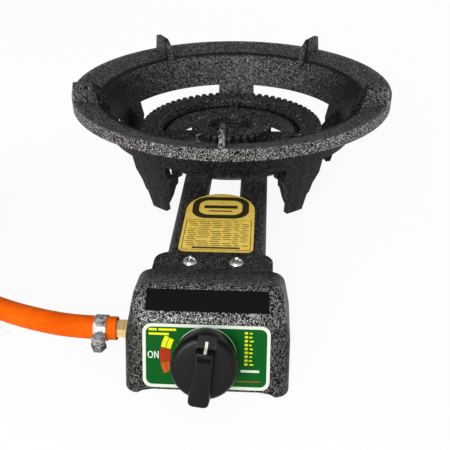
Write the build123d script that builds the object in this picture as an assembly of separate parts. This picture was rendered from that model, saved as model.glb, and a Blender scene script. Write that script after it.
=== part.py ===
from build123d import *
import os
from math import atan2, cos, degrees, pi, radians, sin, sqrt, tan

# Portable propane stove with an iron stand ring, a double ring burner and a control box.
# Millimetres, +Z up, the knob faces -Y, the hose leaves to -X.
# Every piece is drawn about the burner's axis and moved at the end by origin_shift_y,
# so that the origin is the middle of the footprint, on the floor.

# Driving sizes of the whole stove
rim_radius = 150.0
rim_height = 90.0
support_height = 105.0
cap_height = 51.6
panel_foot_reach = 317.0
panel_lean = 20.0
housing_half_width = 51.3
hose_diameter = 15.0
hose_length = 1500.0

# Clearances
seat_gap = 0.3
running_gap = 0.05
sliding_gap = 0.4
bore_gap = 0.1
overrun = 1.0

# Stand ring: one iron casting
leg_count = 5
lip_radius = 119.0
lip_drop = 8.8
lip_round = 5.0
band_height = 10.4
band_width = 4.5
plate_thickness = 5.5
wall_thickness = 5.0
wall_foot_radius = 105.0
wall_slope = 0.2346
wall_bottom = 51.5
leg_top_half_width = 19.5
leg_shoulder_height = 38.0
leg_waist_half_width = 14.0
leg_waist_height = 28.0
leg_step_half_width = 12.6
leg_step_height = 19.0
leg_step = 2.4
leg_foot_half_width = 8.4
fin_thickness = 4.5
fin_outer_inset = 2.5
fin_flat_radius = 129.5
fin_flat_drop = 1.2
fin_nose_radius = 121.5
fin_nose_drop = 7.5
fin_toe_radius = 116.5
fin_toe_height = 78.0
fin_root_height = 70.0
rib_thickness = 5.0
rib_top_height = 51.0
rib_top_radius = 110.0
rib_seat_height = 24.0
rib_seat_radius = 84.5
rib_tip_radius = 81.4
rib_tip_height = 18.0
rib_notch_radius = 84.5
rib_notch_height = 16.0
rib_heel_radius = 88.5
rib_heel_height = 8.0
rib_foot_radius = 96.0

# Burner body: gas rings, bridges, two mixing tubes and the deck in one casting
ring_wall = 3.5
outer_ring_radius = 84.0
outer_ring_bore = 62.0
inner_ring_radius = 35.5
inner_ring_bore = 17.0
ring_top = 42.0
ring_bottom = 27.0
ring_chamfer_width = 6.0
ring_chamfer_height = 5.0
ring_floor = 4.0
bridge_width = 12.0
bridge_top = 40.0
bridge_bottom = 30.0
seat_lug_width = 8.0
seat_lug_depth = 6.5
seat_lug_inset = 0.5
tube_spacing = 49.0
tube_height = 34.0
tube_rear_radius = 11.9
tube_front_radius = 10.9
tube_bore = 8.6
tube_throat_bore = 5.5
tube_mouth_gap = 19.0
inner_tube_end_share = 0.4
deck_half_width = 28.0
deck_top = 46.0
deck_thickness = 5.0
deck_arch_reach = 169.0
boss_radius = 5.0
boss_depth = 9.0
lighting_bar_width = 7.0
lighting_bar_depth = 8.0
lighting_bar_height = 7.5
lighting_groove_width = 3.0
lighting_groove_depth = 3.0

# Ring caps: loose castings with teeth on both edges
cap_seat_lip = 1.2
cap_lip_clearance = 0.5
outer_cap_radius = 88.3
outer_cap_bore = 67.6
inner_cap_radius = 39.3
inner_cap_bore = 20.6
cap_crown_drop = 1.6
cap_crown_width = 4.0
tooth_depth = 5.0
tooth_height = 7.0
tooth_slot_share = 0.34
outer_cap_teeth = 70
outer_bore_teeth = 54
inner_cap_teeth = 32
inner_bore_teeth = 16

# Spark electrode and its lead
electrode_x = -31.0
electrode_y = -36.0
ceramic_radius = 3.2
ceramic_bottom = 27.5
ceramic_top = 45.0
ceramic_collar_radius = 4.6
ceramic_collar_height = 5.0
spark_wire_radius = 1.0
spark_wire_top = 51.8
spark_wire_reach = 5.0
clip_thickness = 1.5
clip_height = 31.0
clip_width = 8.0
clip_ring = 2.2
lead_radius = 1.5
lead_straight = 26.0
lead_drop = 9.5
lead_middle = [
    (12.0, -200.0, 11.0),
    (-1.0, -146.0, 8.0),
    (-15.0, -98.0, 6.0),
    (-24.5, -67.0, 4.6),
    (-28.4, -48.8, 5.0),
    (-30.0, -40.7, 9.7),
]

# Label, strip and panel sheets
sheet_thickness = 0.4
label_half_width = 26.5
label_front_reach = 227.0
label_arch_reach = 167.5
label_corner = 5.0
strip_margin = 8.0
strip_length = 14.0
panel_margin = 12.1
panel_height = 41.4
panel_corner = 5.5
panel_foot_height = 4.0

# Control housing: a hollow iron casting
housing_wall = 3.5
housing_depth = 65.0
housing_taper = 5.5
housing_shoulder_height = 30.0
housing_rear_narrowing = 1.8
housing_corner = 9.0
tongue_top = 50.0
tongue_thickness = 3.7
tongue_length = 18.0
tongue_step = 11.1
tongue_corner = 10.0
ridge_setback = 32.0
ridge_height = 59.5
brow_height = 47.0
foot_arch_height = 1.5
foot_width = 9.3
edge_round = 4.0
tube_opening_margin = 3.0
screw_spacing = 31.4
screw_setback = 7.0
screw_radius = 2.5
screw_head_radius = 4.9
screw_head_height = 3.0
screw_length = 10.0
slot_width = 1.1
slot_depth = 1.4

# Base plate
base_thickness = 1.2
base_height = 2.8
base_gap = 0.4
base_screw_radius = 1.75
base_screw_head = 3.2
base_screw_head_height = 1.0
base_screw_length = 10.0
base_boss_radius = 6.0
base_boss_height = 15.0
base_boss_side_inset = 9.5
base_boss_front_inset = 12.0
base_boss_rear_inset = 10.0

# Gas valve behind the panel
valve_axis_height = 23.6
spindle_hole_radius = 5.0
bonnet_thickness = 3.0
bonnet_radius = 9.0
bonnet_ear_offset = 11.5
bonnet_ear_radius = 4.5
valve_screw_radius = 1.9
valve_screw_head = 3.4
valve_screw_head_height = 1.4
valve_body_radius = 10.5
valve_body_length = 20.0
plug_radius = 6.0
plug_length = 14.0
spindle_radius = 3.0
spindle_length = 27.0
spindle_flat = 2.2
push_travel = 3.0
inlet_height = 28.0
inlet_setback = 26.0
inlet_boss_radius = 8.0
inlet_boss_length = 20.0
manifold_radius = 7.0
manifold_setback = 48.0
manifold_half_length = 32.0
jet_boss_radius = 6.5
jet_boss_length = 9.0
jet_shank_radius = 3.5
jet_shank_length = 10.5
jet_nose_radius = 2.4
jet_nose_length = 3.5
jet_hex_width = 9.0
jet_hex_height = 4.0
jet_orifice_radius = 0.5
shutter_radius = 10.6
shutter_thickness = 1.2
shutter_hole_radius = 2.3
shutter_hole_circle = 6.9
shutter_holes = 4
shutter_tab = 4.0
igniter_length = 22.0
igniter_width = 15.0
igniter_height = 20.0
igniter_x = 14.5
igniter_bottom = 4.5
igniter_setback = 24.0
igniter_round = 2.0
igniter_neck_radius = 3.0
igniter_neck_length = 5.0

# Knob
knob_radius = 20.2
knob_back_radius = 19.4
knob_standoff = 4.0
knob_depth = 16.0
knob_round = 2.0
knob_wall = 2.2
knob_hub_radius = 5.5
knob_turn_at_rest = -7.0
grip_height = 8.5
grip_top_half_width = 5.6
grip_bottom_half_width = 6.8
grip_round = 1.5
grip_top_share = 0.64
grip_bottom_share = 1.0
pointer_notch_drop = 3.5

# Inlet nipple, clamp and hose
nipple_width = 10.4
nipple_radius = 4.3
nipple_nut_width = 13.0
nipple_nut_length = 5.0
nipple_bore = 2.5
barb_height = 0.5
barb_pitch = 5.0
barb_count = 4
stub_length = 7.5
hose_bore_length = 24.0
clamp_offset = 6.5
clamp_width = 9.5
clamp_band = 0.8
clamp_ear_length = 10.0
clamp_ear_gap = 3.0
clamp_ear_thickness = 1.4
clamp_ear_drop = 40.0
clamp_screw_radius = 2.0
clamp_screw_head = 4.0
clamp_screw_head_height = 2.2
clamp_screw_length = 13.0
clamp_nut_width = 9.0
clamp_nut_height = 4.0
clamp_hole_share = 0.55
# The hose's way from the inlet to the coil: across, back, and height as a share of its fall
hose_way = [
    (0, 0, 1),
    (-26.0, 0, 1),
    (-53.0, 7.0, 0.937824),
    (-79.5, 18.5, 0.813472),
    (-105.0, 34.5, 0.61658),
    (-126.0, 57.0, 0.357513),
    (-140.5, 84.5, 0.119171),
    (-148.0, 114.5, 0),
    (-148.0, 139.5, 0),
]
corner_share = 0.45
coil_radius = 88.0
coil_pitch = 18.0
coil_layer = 15.7
coil_turns = 2.5
tail_length = 22.0
tail_stub = 6.0
coupling_width = 21.0
coupling_length = 16.0
coupling_bore = 8.2
coupling_collar_radius = 8.5
coupling_collar_length = 4.0
tie_width = 9.0
tie_thickness = 1.2
tie_clearance = 0.5
tie_angles = (60.0, 275.0)

# Reaches and widths that follow from the sizes above; the control box keeps its things together
valley_reach = panel_foot_reach - housing_depth
ridge_reach = panel_foot_reach - ridge_setback
screw_reach = valley_reach - screw_setback
tongue_rear_reach = valley_reach - tongue_length
manifold_reach = panel_foot_reach - manifold_setback
tube_mouth_reach = manifold_reach - tube_mouth_gap
inlet_reach = panel_foot_reach - inlet_setback
igniter_front_reach = panel_foot_reach - igniter_setback
housing_top_half_width = housing_half_width - housing_taper
tongue_half_width = housing_half_width - tongue_step
tube_opening_half_width = tongue_half_width - tube_opening_margin
foot_arch_half_width = housing_half_width - foot_width
strip_width = 2 * (housing_top_half_width - strip_margin)
panel_width = 2 * (housing_half_width - panel_margin)

os.makedirs("parts", exist_ok=True)


# Small helpers that every piece uses
def side_face(points):
    """A flat face in the vertical plane through the axis, from (radius, height) points."""
    line = Polyline(*[(r, 0, z) for r, z in points], close=True)
    return make_face(line)


def turned(points):
    """A body turned about the vertical axis from its half section."""
    return revolve(side_face(points), Axis.Z, 360)


def radial_plate(points, thickness, angle):
    """An upright plate that stands on a radius of the burner's axis."""
    plate = extrude(side_face(points), amount=thickness / 2, dir=(0, 1, 0), both=True)
    return Rot(0, 0, angle) * plate


def profile_along_x(points, half_width):
    """A body with a side outline in reach and height, extruded across the stove."""
    line = Polyline(*[(0, -reach, z) for reach, z in points], close=True)
    return extrude(make_face(line), amount=half_width, dir=(1, 0, 0), both=True)


def rod(start, end, radius):
    """A round bar between two points."""
    run = Vector(end) - Vector(start)
    plane = Plane(origin=start, z_dir=run)
    return plane * extrude(Circle(radius), amount=run.length)


def hexagon_bar(start, end, width):
    """A six-sided bar between two points, by its width across flats."""
    run = Vector(end) - Vector(start)
    plane = Plane(origin=start, z_dir=run)
    return plane * extrude(RegularPolygon(width / 2, 6, major_radius=False), amount=run.length)


def joined(shapes):
    """Fuses a list of bodies into one."""
    whole = shapes[0]
    for shape in shapes[1:]:
        whole = whole + shape
    return whole


# Places on the leaning panel: u runs up the panel, s runs into the box
lean_sin = sin(radians(panel_lean))
lean_cos = cos(radians(panel_lean))
knob_axis_reach = panel_foot_reach - (valve_axis_height - panel_foot_height) * tan(radians(panel_lean))


def on_panel(x=0.0, u=0.0, s=0.0):
    """A point by its place on the panel, measured from the knob's axis."""
    y = -knob_axis_reach + u * lean_sin + s * lean_cos
    z = valve_axis_height + u * lean_cos - s * lean_sin
    return (x, y, z)


def panel_plane(s=0.0, turn=0.0):
    """The plane of the panel at a depth s, its normal out of the box, turned about it."""
    across = (cos(radians(turn)), sin(radians(turn)) * lean_sin, sin(radians(turn)) * lean_cos)
    return Plane(origin=on_panel(s=s), x_dir=across, z_dir=(0, -lean_cos, lean_sin))


# Stand ring
rim_fall = lip_drop / (rim_radius - lip_radius)
lip_height = rim_height - lip_drop


def rim_top_at(radius):
    """Height of the sloped rim face at a radius."""
    return rim_height - (rim_radius - radius) * rim_fall


def wall_at(height):
    """Outer radius of the cone wall at a height."""
    return wall_foot_radius + wall_slope * height


def make_stand_ring():
    band_inner = rim_radius - band_width
    under_lip = lip_height - lip_radius * rim_fall - plate_thickness
    under_radius = (wall_foot_radius + wall_slope * under_lip) / (1 - wall_slope * rim_fall)
    section = [
        (lip_radius, lip_height),
        (rim_radius, rim_height),
        (rim_radius, rim_height - band_height),
        (band_inner, rim_height - band_height),
        (band_inner, rim_top_at(band_inner) - plate_thickness),
        (under_radius, rim_top_at(under_radius) - plate_thickness),
        (wall_foot_radius, 0),
        (wall_foot_radius - wall_thickness, 0),
    ]
    shell = turned(section)
    lip = [edge for edge in shell.edges() if abs(edge.center().Z - lip_height) < running_gap]
    shell = fillet(lip, lip_round)
    leg_outline = [
        (-leg_foot_half_width, -overrun),
        (leg_foot_half_width, -overrun),
        (leg_step_half_width - leg_step, leg_step_height - leg_step),
        (leg_step_half_width, leg_step_height),
        (leg_waist_half_width, leg_waist_height),
        (leg_top_half_width, leg_shoulder_height),
        (leg_top_half_width, wall_bottom + overrun),
        (-leg_top_half_width, wall_bottom + overrun),
        (-leg_top_half_width, leg_shoulder_height),
        (-leg_waist_half_width, leg_waist_height),
        (-leg_step_half_width, leg_step_height),
        (-leg_step_half_width + leg_step, leg_step_height - leg_step),
    ]
    outline = Polyline(*[(0, t, z) for t, z in leg_outline], close=True)
    bar = extrude(make_face(outline), amount=rim_radius, dir=(1, 0, 0))
    upper = Pos(0, 0, wall_bottom) * extrude(Circle(rim_radius + overrun), amount=rim_height)
    keep = joined([upper] + [Rot(0, 0, leg_angle(i)) * bar for i in range(leg_count)])
    ring = shell & keep
    for i in range(leg_count):
        ring = ring + make_fin(leg_angle(i) + 180.0) + make_leg_rib(leg_angle(i))
    return ring


def leg_angle(i):
    """Direction of each leg; the fins stand opposite the legs."""
    return 90.0 + i * 360.0 / leg_count


def make_fin(angle):
    """A pot support across the whole rim face, its nose running down the wall."""
    fin_outer = rim_radius - fin_outer_inset
    rim_inside = rim_radius - band_width / 2
    points = [
        (rim_inside, rim_top_at(rim_inside) - plate_thickness / 2),
        (rim_radius, rim_height),
        (fin_outer, support_height),
        (fin_flat_radius, support_height - fin_flat_drop),
        (fin_nose_radius, support_height - fin_nose_drop),
        (fin_toe_radius, fin_toe_height),
        (wall_at(fin_root_height) - wall_thickness / 2, fin_root_height),
        (wall_at(lip_height) - wall_thickness / 2, lip_height - plate_thickness / 2),
    ]
    return radial_plate(points, fin_thickness, angle)


def make_leg_rib(angle):
    """The rib inside each leg: its ledge carries the burner, its tip centres it."""
    points = [
        (wall_at(0) - wall_thickness / 2, 0),
        (wall_at(rib_top_height) - wall_thickness / 2, rib_top_height),
        (rib_top_radius, rib_top_height),
        (rib_seat_radius, rib_seat_height),
        (rib_tip_radius, rib_seat_height),
        (rib_tip_radius, rib_tip_height),
        (rib_notch_radius, rib_notch_height),
        (rib_heel_radius, rib_heel_height),
        (rib_foot_radius, 0),
    ]
    return radial_plate(points, rib_thickness, angle)


# Burner body
tube_x = tube_spacing / 2
outer_tube_end = (outer_ring_radius + outer_ring_bore) / 2
inner_tube_end = inner_ring_radius * inner_tube_end_share


def ring_trough(outer, bore):
    """One gas ring: a round trough, open on top, with a chamfered outer foot."""
    chamfer_height = ring_bottom + ring_chamfer_height
    solid = turned([
        (bore, ring_bottom),
        (outer - ring_chamfer_width, ring_bottom),
        (outer, chamfer_height),
        (outer, ring_top),
        (bore, ring_top),
    ])
    channel = turned([
        (bore + ring_wall, ring_bottom + ring_floor),
        (outer - ring_wall - ring_chamfer_width / 2, ring_bottom + ring_floor),
        (outer - ring_wall, chamfer_height + ring_floor / 2),
        (outer - ring_wall, ring_top + overrun),
        (bore + ring_wall, ring_top + overrun),
    ])
    return solid, channel


def mixing_tube(x, end):
    """Outer form of one mixing tube, slightly thicker towards the burner."""
    run = tube_mouth_reach - end
    plane = Plane(origin=(x, -end - run / 2, tube_height), x_dir=(1, 0, 0), z_dir=(0, 1, 0))
    return plane * Cone(tube_front_radius, tube_rear_radius, run)


def make_burner_body():
    outer_solid, outer_channel = ring_trough(outer_ring_radius, outer_ring_bore)
    inner_solid, inner_channel = ring_trough(inner_ring_radius, inner_ring_bore)
    bridge = Pos(0, 0, (bridge_top + bridge_bottom) / 2) * Box(
        2 * (outer_ring_bore + ring_wall / 2), bridge_width, bridge_top - bridge_bottom)
    well = Pos(0, 0, ring_bottom) * extrude(Circle(inner_ring_radius - ring_wall / 2), amount=ring_top)
    under_cap = Pos(0, 0, ring_top - cap_seat_lip) * extrude(
        Circle(outer_cap_radius + cap_lip_clearance), amount=ring_top)
    left_tube = mixing_tube(-tube_x, outer_tube_end) - under_cap
    right_tube = mixing_tube(tube_x, inner_tube_end) - under_cap
    body = joined([outer_solid, inner_solid, bridge - well, make_lighting_bar()])
    body = body + left_tube + right_tube
    body = body - inner_channel - (outer_channel - right_tube) - make_tube_bores()
    body = body + make_deck() - make_deck_holes()
    for i in range(leg_count):
        body = body + make_seat_lug(leg_angle(i))
    return body


def make_tube_bores():
    """Wide bores up to the gas rings, and narrow throats under the caps."""
    throat_start = outer_cap_radius + ring_wall
    bores = []
    for x, end in ((-tube_x, outer_tube_end), (tube_x, inner_tube_end)):
        bores.append(rod((x, -tube_mouth_reach - overrun, tube_height), (x, -throat_start, tube_height),
                         tube_bore))
        bores.append(rod((x, -throat_start - overrun, tube_height), (x, -end, tube_height),
                         tube_throat_bore))
    return joined(bores)


def deck_outline(half_width, front_reach, arch_reach):
    """A plate outline with a half-round rear end."""
    plate = Pos(0, -(front_reach + arch_reach) / 2) * Rectangle(2 * half_width, front_reach - arch_reach)
    return plate + Pos(0, -arch_reach) * Circle(half_width)


def make_deck():
    outline = deck_outline(deck_half_width, tube_mouth_reach, deck_arch_reach)
    plate = Pos(0, 0, deck_top - deck_thickness) * extrude(outline, amount=deck_thickness)
    bosses = [
        rod((x, -screw_reach, deck_top - boss_depth), (x, -screw_reach, deck_top), boss_radius)
        for x in (-screw_spacing / 2, screw_spacing / 2)
    ]
    plate = plate - make_tube_bores()
    return plate + (joined(bosses) - make_tube_bores())


def make_deck_holes():
    return joined([
        rod((x, -screw_reach, deck_top - screw_length), (x, -screw_reach, deck_top + overrun),
            screw_radius + bore_gap)
        for x in (-screw_spacing / 2, screw_spacing / 2)
    ])


def make_seat_lug(angle):
    """A pad under the outer gas ring that stands on a leg rib's ledge."""
    outer = outer_ring_radius - seat_lug_inset
    inner = outer - seat_lug_depth
    bottom = rib_seat_height + seat_gap
    points = [
        (inner, bottom),
        (outer, bottom),
        (outer, ring_bottom + ring_chamfer_height + ring_wall),
        (inner, ring_bottom + ring_floor / 2),
    ]
    return radial_plate(points, seat_lug_width, angle)


def make_lighting_bar():
    """The channel behind the middle that carries the flame from ring to ring."""
    start = inner_cap_radius + cap_lip_clearance
    end = outer_cap_bore - cap_lip_clearance
    web_start = inner_ring_radius - ring_wall / 2
    web_end = outer_ring_bore + ring_wall / 2
    web = Pos(0, (web_start + web_end) / 2, ring_top - lighting_bar_depth / 2) * Box(
        lighting_bar_width, web_end - web_start, lighting_bar_depth)
    bar = Pos(0, (start + end) / 2, ring_top + lighting_bar_height / 2) * Box(
        lighting_bar_width, end - start, lighting_bar_height)
    groove = Pos(0, (start + end) / 2, ring_top + lighting_bar_height) * Box(
        lighting_groove_width, end - start + overrun, 2 * lighting_groove_depth)
    return web + bar - groove


# Ring caps
cap_skirt = ring_top + seat_gap


def tooth_slots(radius, inward, count):
    """Slots cut through one edge of a cap; what stays between them are its teeth."""
    width = 2 * pi * radius / count * tooth_slot_share
    near = radius - tooth_depth if inward else radius - overrun
    length = tooth_depth + overrun
    bottom = cap_height - tooth_height
    slot = Pos(near + length / 2, 0, bottom + cap_height / 2) * Box(length, width, cap_height)
    return [Rot(0, 0, (i + 1 / 2) * 360.0 / count) * slot for i in range(count)]


def make_cap(radius, bore, ring_radius, outer_teeth, bore_teeth):
    """A cap: crown between two toothed edges over a lip that drops into the gas ring."""
    middle = (radius + bore) / 2
    crown = turned([
        (bore, cap_skirt),
        (radius, cap_skirt),
        (radius, cap_height),
        (radius - tooth_depth, cap_height),
        (middle + cap_crown_width / 2, cap_height - cap_crown_drop),
        (middle - cap_crown_width / 2, cap_height - cap_crown_drop),
        (bore + tooth_depth, cap_height),
        (bore, cap_height),
    ])
    lip_outer = ring_radius - ring_wall - cap_lip_clearance
    lip = turned([
        (lip_outer - cap_seat_lip, cap_skirt - cap_seat_lip),
        (lip_outer, cap_skirt - cap_seat_lip),
        (lip_outer, cap_skirt + cap_seat_lip),
        (lip_outer - cap_seat_lip, cap_skirt + cap_seat_lip),
    ])
    slots = tooth_slots(radius, True, outer_teeth) + tooth_slots(bore, False, bore_teeth)
    return crown + lip - slots


# Spark electrode beside the inner ring
def make_ceramic():
    foot = (electrode_x, electrode_y, ceramic_bottom)
    tip = (electrode_x, electrode_y, ceramic_top)
    collar_foot = (electrode_x, electrode_y, clip_height + clip_thickness)
    collar_top = (electrode_x, electrode_y, clip_height + clip_thickness + ceramic_collar_height)
    ceramic = rod(foot, tip, ceramic_radius) + rod(collar_foot, collar_top, ceramic_collar_radius)
    return ceramic - rod((electrode_x, electrode_y, (ceramic_bottom + ceramic_top) / 2),
                         (electrode_x, electrode_y, ceramic_top + overrun), spark_wire_radius)


def make_spark_wire():
    """The bare wire: up out of the ceramic and bent over towards the inner ring."""
    away = sqrt(electrode_x ** 2 + electrode_y ** 2)
    share = 1 - spark_wire_reach / away
    corner = (electrode_x, electrode_y, spark_wire_top)
    tip = (electrode_x * share, electrode_y * share, spark_wire_top)
    foot = (electrode_x, electrode_y, (ceramic_bottom + ceramic_top) / 2)
    return rod(foot, corner, spark_wire_radius) + rod(corner, tip, spark_wire_radius) + Pos(*corner) * Sphere(
        spark_wire_radius)


def make_electrode_clip():
    """A steel strap from the inner gas ring that holds the ceramic by its collar."""
    away = sqrt(electrode_x ** 2 + electrode_y ** 2)
    strap = Pos((inner_ring_radius + away) / 2, 0, clip_height + clip_thickness / 2) * Box(
        away - inner_ring_radius, clip_width, clip_thickness)
    eye = Pos(away, 0, clip_height) * extrude(Circle(ceramic_radius + clip_ring), amount=clip_thickness)
    hole = Pos(away, 0, 0) * extrude(Circle(ceramic_radius), amount=rim_height)
    tab_height = ring_top - clip_height
    curve = turned([
        (inner_ring_radius, clip_height), (inner_ring_radius + clip_thickness, clip_height),
        (inner_ring_radius + clip_thickness, ring_top - seat_gap), (inner_ring_radius, ring_top - seat_gap),
    ])
    tab = curve & Pos(inner_ring_radius, 0, clip_height + tab_height / 2) * Box(
        inner_ring_radius, clip_width, tab_height)
    round_wall = turned([
        (0, 0), (inner_ring_radius, 0), (inner_ring_radius, rim_height), (0, rim_height)])
    return Rot(0, 0, degrees(atan2(electrode_y, electrode_x))) * (strap + eye + tab - hole - round_wall)


# Label, strip and panel sheets
def make_label():
    outline = deck_outline(label_half_width, label_front_reach, label_arch_reach)
    sheet = Pos(0, 0, deck_top) * extrude(outline, amount=sheet_thickness)
    front = sheet.edges().filter_by(Axis.Z).sort_by(Axis.Y)[:2]
    return fillet(front, label_corner)


def make_strip():
    """The glossy strip lies in the middle of the sloped face between ridge and panel."""
    run = brow_reach - ridge_reach
    fall = ridge_height - brow_height
    face_length = sqrt(run ** 2 + fall ** 2)
    normal = (0, -fall / face_length, run / face_length)
    middle = (0, -(brow_reach + ridge_reach) / 2, (brow_height + ridge_height) / 2)
    plane = Plane(origin=middle, x_dir=(1, 0, 0), z_dir=normal)
    return plane * extrude(Rectangle(strip_width, strip_length), amount=sheet_thickness)


def panel_middle_u():
    """Height of the panel sheet's middle above the knob's axis, along the panel."""
    foot_u = -(valve_axis_height - panel_foot_height) / lean_cos
    return foot_u + panel_height / 2


def make_panel():
    sheet = extrude(Pos(0, panel_middle_u()) * RectangleRounded(panel_width, panel_height, panel_corner),
                    amount=sheet_thickness)
    hole = extrude(Circle(spindle_hole_radius + overrun), amount=sheet_thickness)
    screw_holes = [
        Pos(x, 0) * extrude(Circle(valve_screw_head + overrun), amount=sheet_thickness)
        for x in (-bonnet_ear_offset, bonnet_ear_offset)
    ]
    return panel_plane() * (sheet - hole - screw_holes)


# Control housing
def panel_reach_at(height):
    """How far the leaning panel stands forward at a height."""
    return panel_foot_reach - (height - panel_foot_height) * tan(radians(panel_lean))


brow_reach = panel_reach_at(brow_height)


def housing_half_width_at(height):
    """The box is straight up to its shoulders and narrows above them."""
    share = max(0, (height - housing_shoulder_height) / (ridge_height - housing_shoulder_height))
    return housing_half_width - (housing_half_width - housing_top_half_width) * share


def housing_section(height, inset):
    """The box's plan at a height: narrower behind, with round corners."""
    half = housing_half_width_at(height) - inset
    front = panel_reach_at(height) - inset / lean_cos
    rear = valley_reach + inset
    plan = make_face(Polyline(
        (-half + housing_rear_narrowing, -rear), (half - housing_rear_narrowing, -rear),
        (half, -front), (-half, -front), close=True))
    return Pos(0, 0, height) * fillet(plan.vertices(), housing_corner - inset)


def housing_form(inset, foot):
    """The box's form from its foot up, cut by its side outline from above."""
    top = ridge_height + overrun
    lower = loft([housing_section(foot, inset), housing_section(housing_shoulder_height, inset)], ruled=True)
    upper = loft([housing_section(housing_shoulder_height, inset), housing_section(top, inset)], ruled=True)
    outline = make_face(Polyline(
        (0, -valley_reach + housing_wall, foot - housing_wall),
        (0, -panel_foot_reach - housing_wall, foot - housing_wall),
        (0, -panel_foot_reach - housing_wall, brow_height - (panel_foot_reach + housing_wall - brow_reach)
         * (ridge_height - brow_height) / (brow_reach - ridge_reach)),
        (0, -ridge_reach, ridge_height),
        (0, -valley_reach + housing_wall, tongue_top - housing_wall
         * (ridge_height - tongue_top) / (ridge_reach - valley_reach)), close=True))
    if inset > 0:
        outline = offset(outline, -inset, kind=Kind.INTERSECTION)
    side = extrude(outline, amount=housing_half_width + overrun, dir=(1, 0, 0), both=True)
    return (lower + upper) & side


def make_housing():
    outer = housing_form(0, 0)
    crown = [e for e in outer.edges() if abs(e.tangent_at(1 / 2).X) > 1 / 2
             and e.center().Z > brow_height - overrun and e.center().Y < -valley_reach - housing_corner]
    outer = fillet(crown, edge_round)
    shell = outer + make_tongue() - housing_form(housing_wall, -2 * housing_wall)
    opening_front = valley_reach + housing_wall + overrun
    opening = Pos(0, -(opening_front + tongue_rear_reach) / 2, 0) * Box(
        2 * tube_opening_half_width, opening_front - tongue_rear_reach, 2 * (tongue_top - tongue_thickness))
    arch = make_face(Polyline(
        (-foot_arch_half_width, 0, 0), (-foot_arch_half_width + foot_arch_height, 0, foot_arch_height),
        (foot_arch_half_width - foot_arch_height, 0, foot_arch_height), (foot_arch_half_width, 0, 0),
        close=True))
    arch_cut = Pos(0, -panel_foot_reach + 3 * housing_wall, 0) * extrude(
        arch, amount=6 * housing_wall, dir=(0, -1, 0))
    shell = shell - opening - arch_cut
    return shell + make_base_bosses() - make_housing_holes()


def make_tongue():
    """The flat tongue behind the box that is screwed down on the deck."""
    front = valley_reach + housing_wall
    plate = Pos(0, -(front + tongue_rear_reach) / 2) * Rectangle(
        2 * tongue_half_width, front - tongue_rear_reach)
    body = Pos(0, 0, tongue_top - tongue_thickness) * extrude(plate, amount=tongue_thickness)
    corners = body.edges().filter_by(Axis.Z).sort_by(Axis.Y)[-2:]
    return fillet(corners, tongue_corner)


def base_boss_places():
    side = housing_half_width - base_boss_side_inset
    front = panel_foot_reach - base_boss_front_inset
    rear = valley_reach + base_boss_rear_inset
    return [(x, -reach) for x in (-side, side) for reach in (front, rear)]


def make_base_bosses():
    bottom = base_height + base_thickness + seat_gap
    return joined([
        rod((x, y, bottom), (x, y, base_boss_height), base_boss_radius) for x, y in base_boss_places()
    ])


def make_housing_holes():
    holes = [
        rod((x, -screw_reach, 0), (x, -screw_reach, tongue_top + overrun), screw_radius + bore_gap)
        for x in (-screw_spacing / 2, screw_spacing / 2)
    ]
    holes = holes + [
        rod((x, y, 0), (x, y, base_screw_length), base_screw_radius + bore_gap) for x, y in base_boss_places()
    ]
    holes.append(rod(on_panel(s=-overrun), on_panel(s=2 * housing_wall), spindle_hole_radius))
    holes = holes + [
        rod(on_panel(x=x, s=-overrun), on_panel(x=x, s=2 * housing_wall), valve_screw_radius + bore_gap)
        for x in (-bonnet_ear_offset, bonnet_ear_offset)
    ]
    holes.append(rod((-housing_half_width - overrun, -inlet_reach, inlet_height),
                     (-housing_half_width + 2 * housing_wall, -inlet_reach, inlet_height),
                     nipple_width / sqrt(3) + seat_gap))
    return joined(holes)


def make_housing_screws():
    screws = []
    for x in (-screw_spacing / 2, screw_spacing / 2):
        shank = rod((x, -screw_reach, tongue_top - screw_length), (x, -screw_reach, tongue_top), screw_radius)
        dome_radius = (screw_head_radius ** 2 + screw_head_height ** 2) / (2 * screw_head_height)
        ball = Pos(x, -screw_reach, tongue_top + screw_head_height - dome_radius) * Sphere(dome_radius)
        disc = Pos(x, -screw_reach, tongue_top) * extrude(Circle(screw_head_radius), amount=screw_head_height)
        top = tongue_top + screw_head_height
        slots = [
            Pos(x, -screw_reach, top) * Rot(0, 0, turn) * Box(screw_head_radius, slot_width, 2 * slot_depth)
            for turn in (0, 90)
        ]
        screws.append(shank + (ball & disc) - slots)
    return Compound(children=screws)


# Base plate and its screws
def make_base_plate():
    section = housing_section(base_height + base_thickness, housing_wall + base_gap)
    plate = extrude(section, amount=base_thickness, dir=(0, 0, -1))
    holes = [
        Pos(x, y, 0) * extrude(Circle(base_screw_radius + bore_gap), amount=base_boss_height)
        for x, y in base_boss_places()
    ]
    return plate - holes


def make_base_screws():
    screws = []
    for x, y in base_boss_places():
        head_bottom = base_height - base_screw_head_height
        head = rod((x, y, head_bottom), (x, y, base_height), base_screw_head)
        shank = rod((x, y, base_height), (x, y, base_screw_length), base_screw_radius)
        slot = Pos(x, y, head_bottom) * Box(base_screw_head, slot_width, base_screw_head_height)
        screws.append(head + shank - slot)
    return Compound(children=screws)


# Gas valve, from the panel inwards: bonnet, body with plug, manifold arm, jets and shutters
bonnet_s = housing_wall
body_s = bonnet_s + bonnet_thickness
plug_s = body_s + sliding_gap
spindle_inner_s = plug_s + plug_length - 2 * sliding_gap - push_travel


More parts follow.
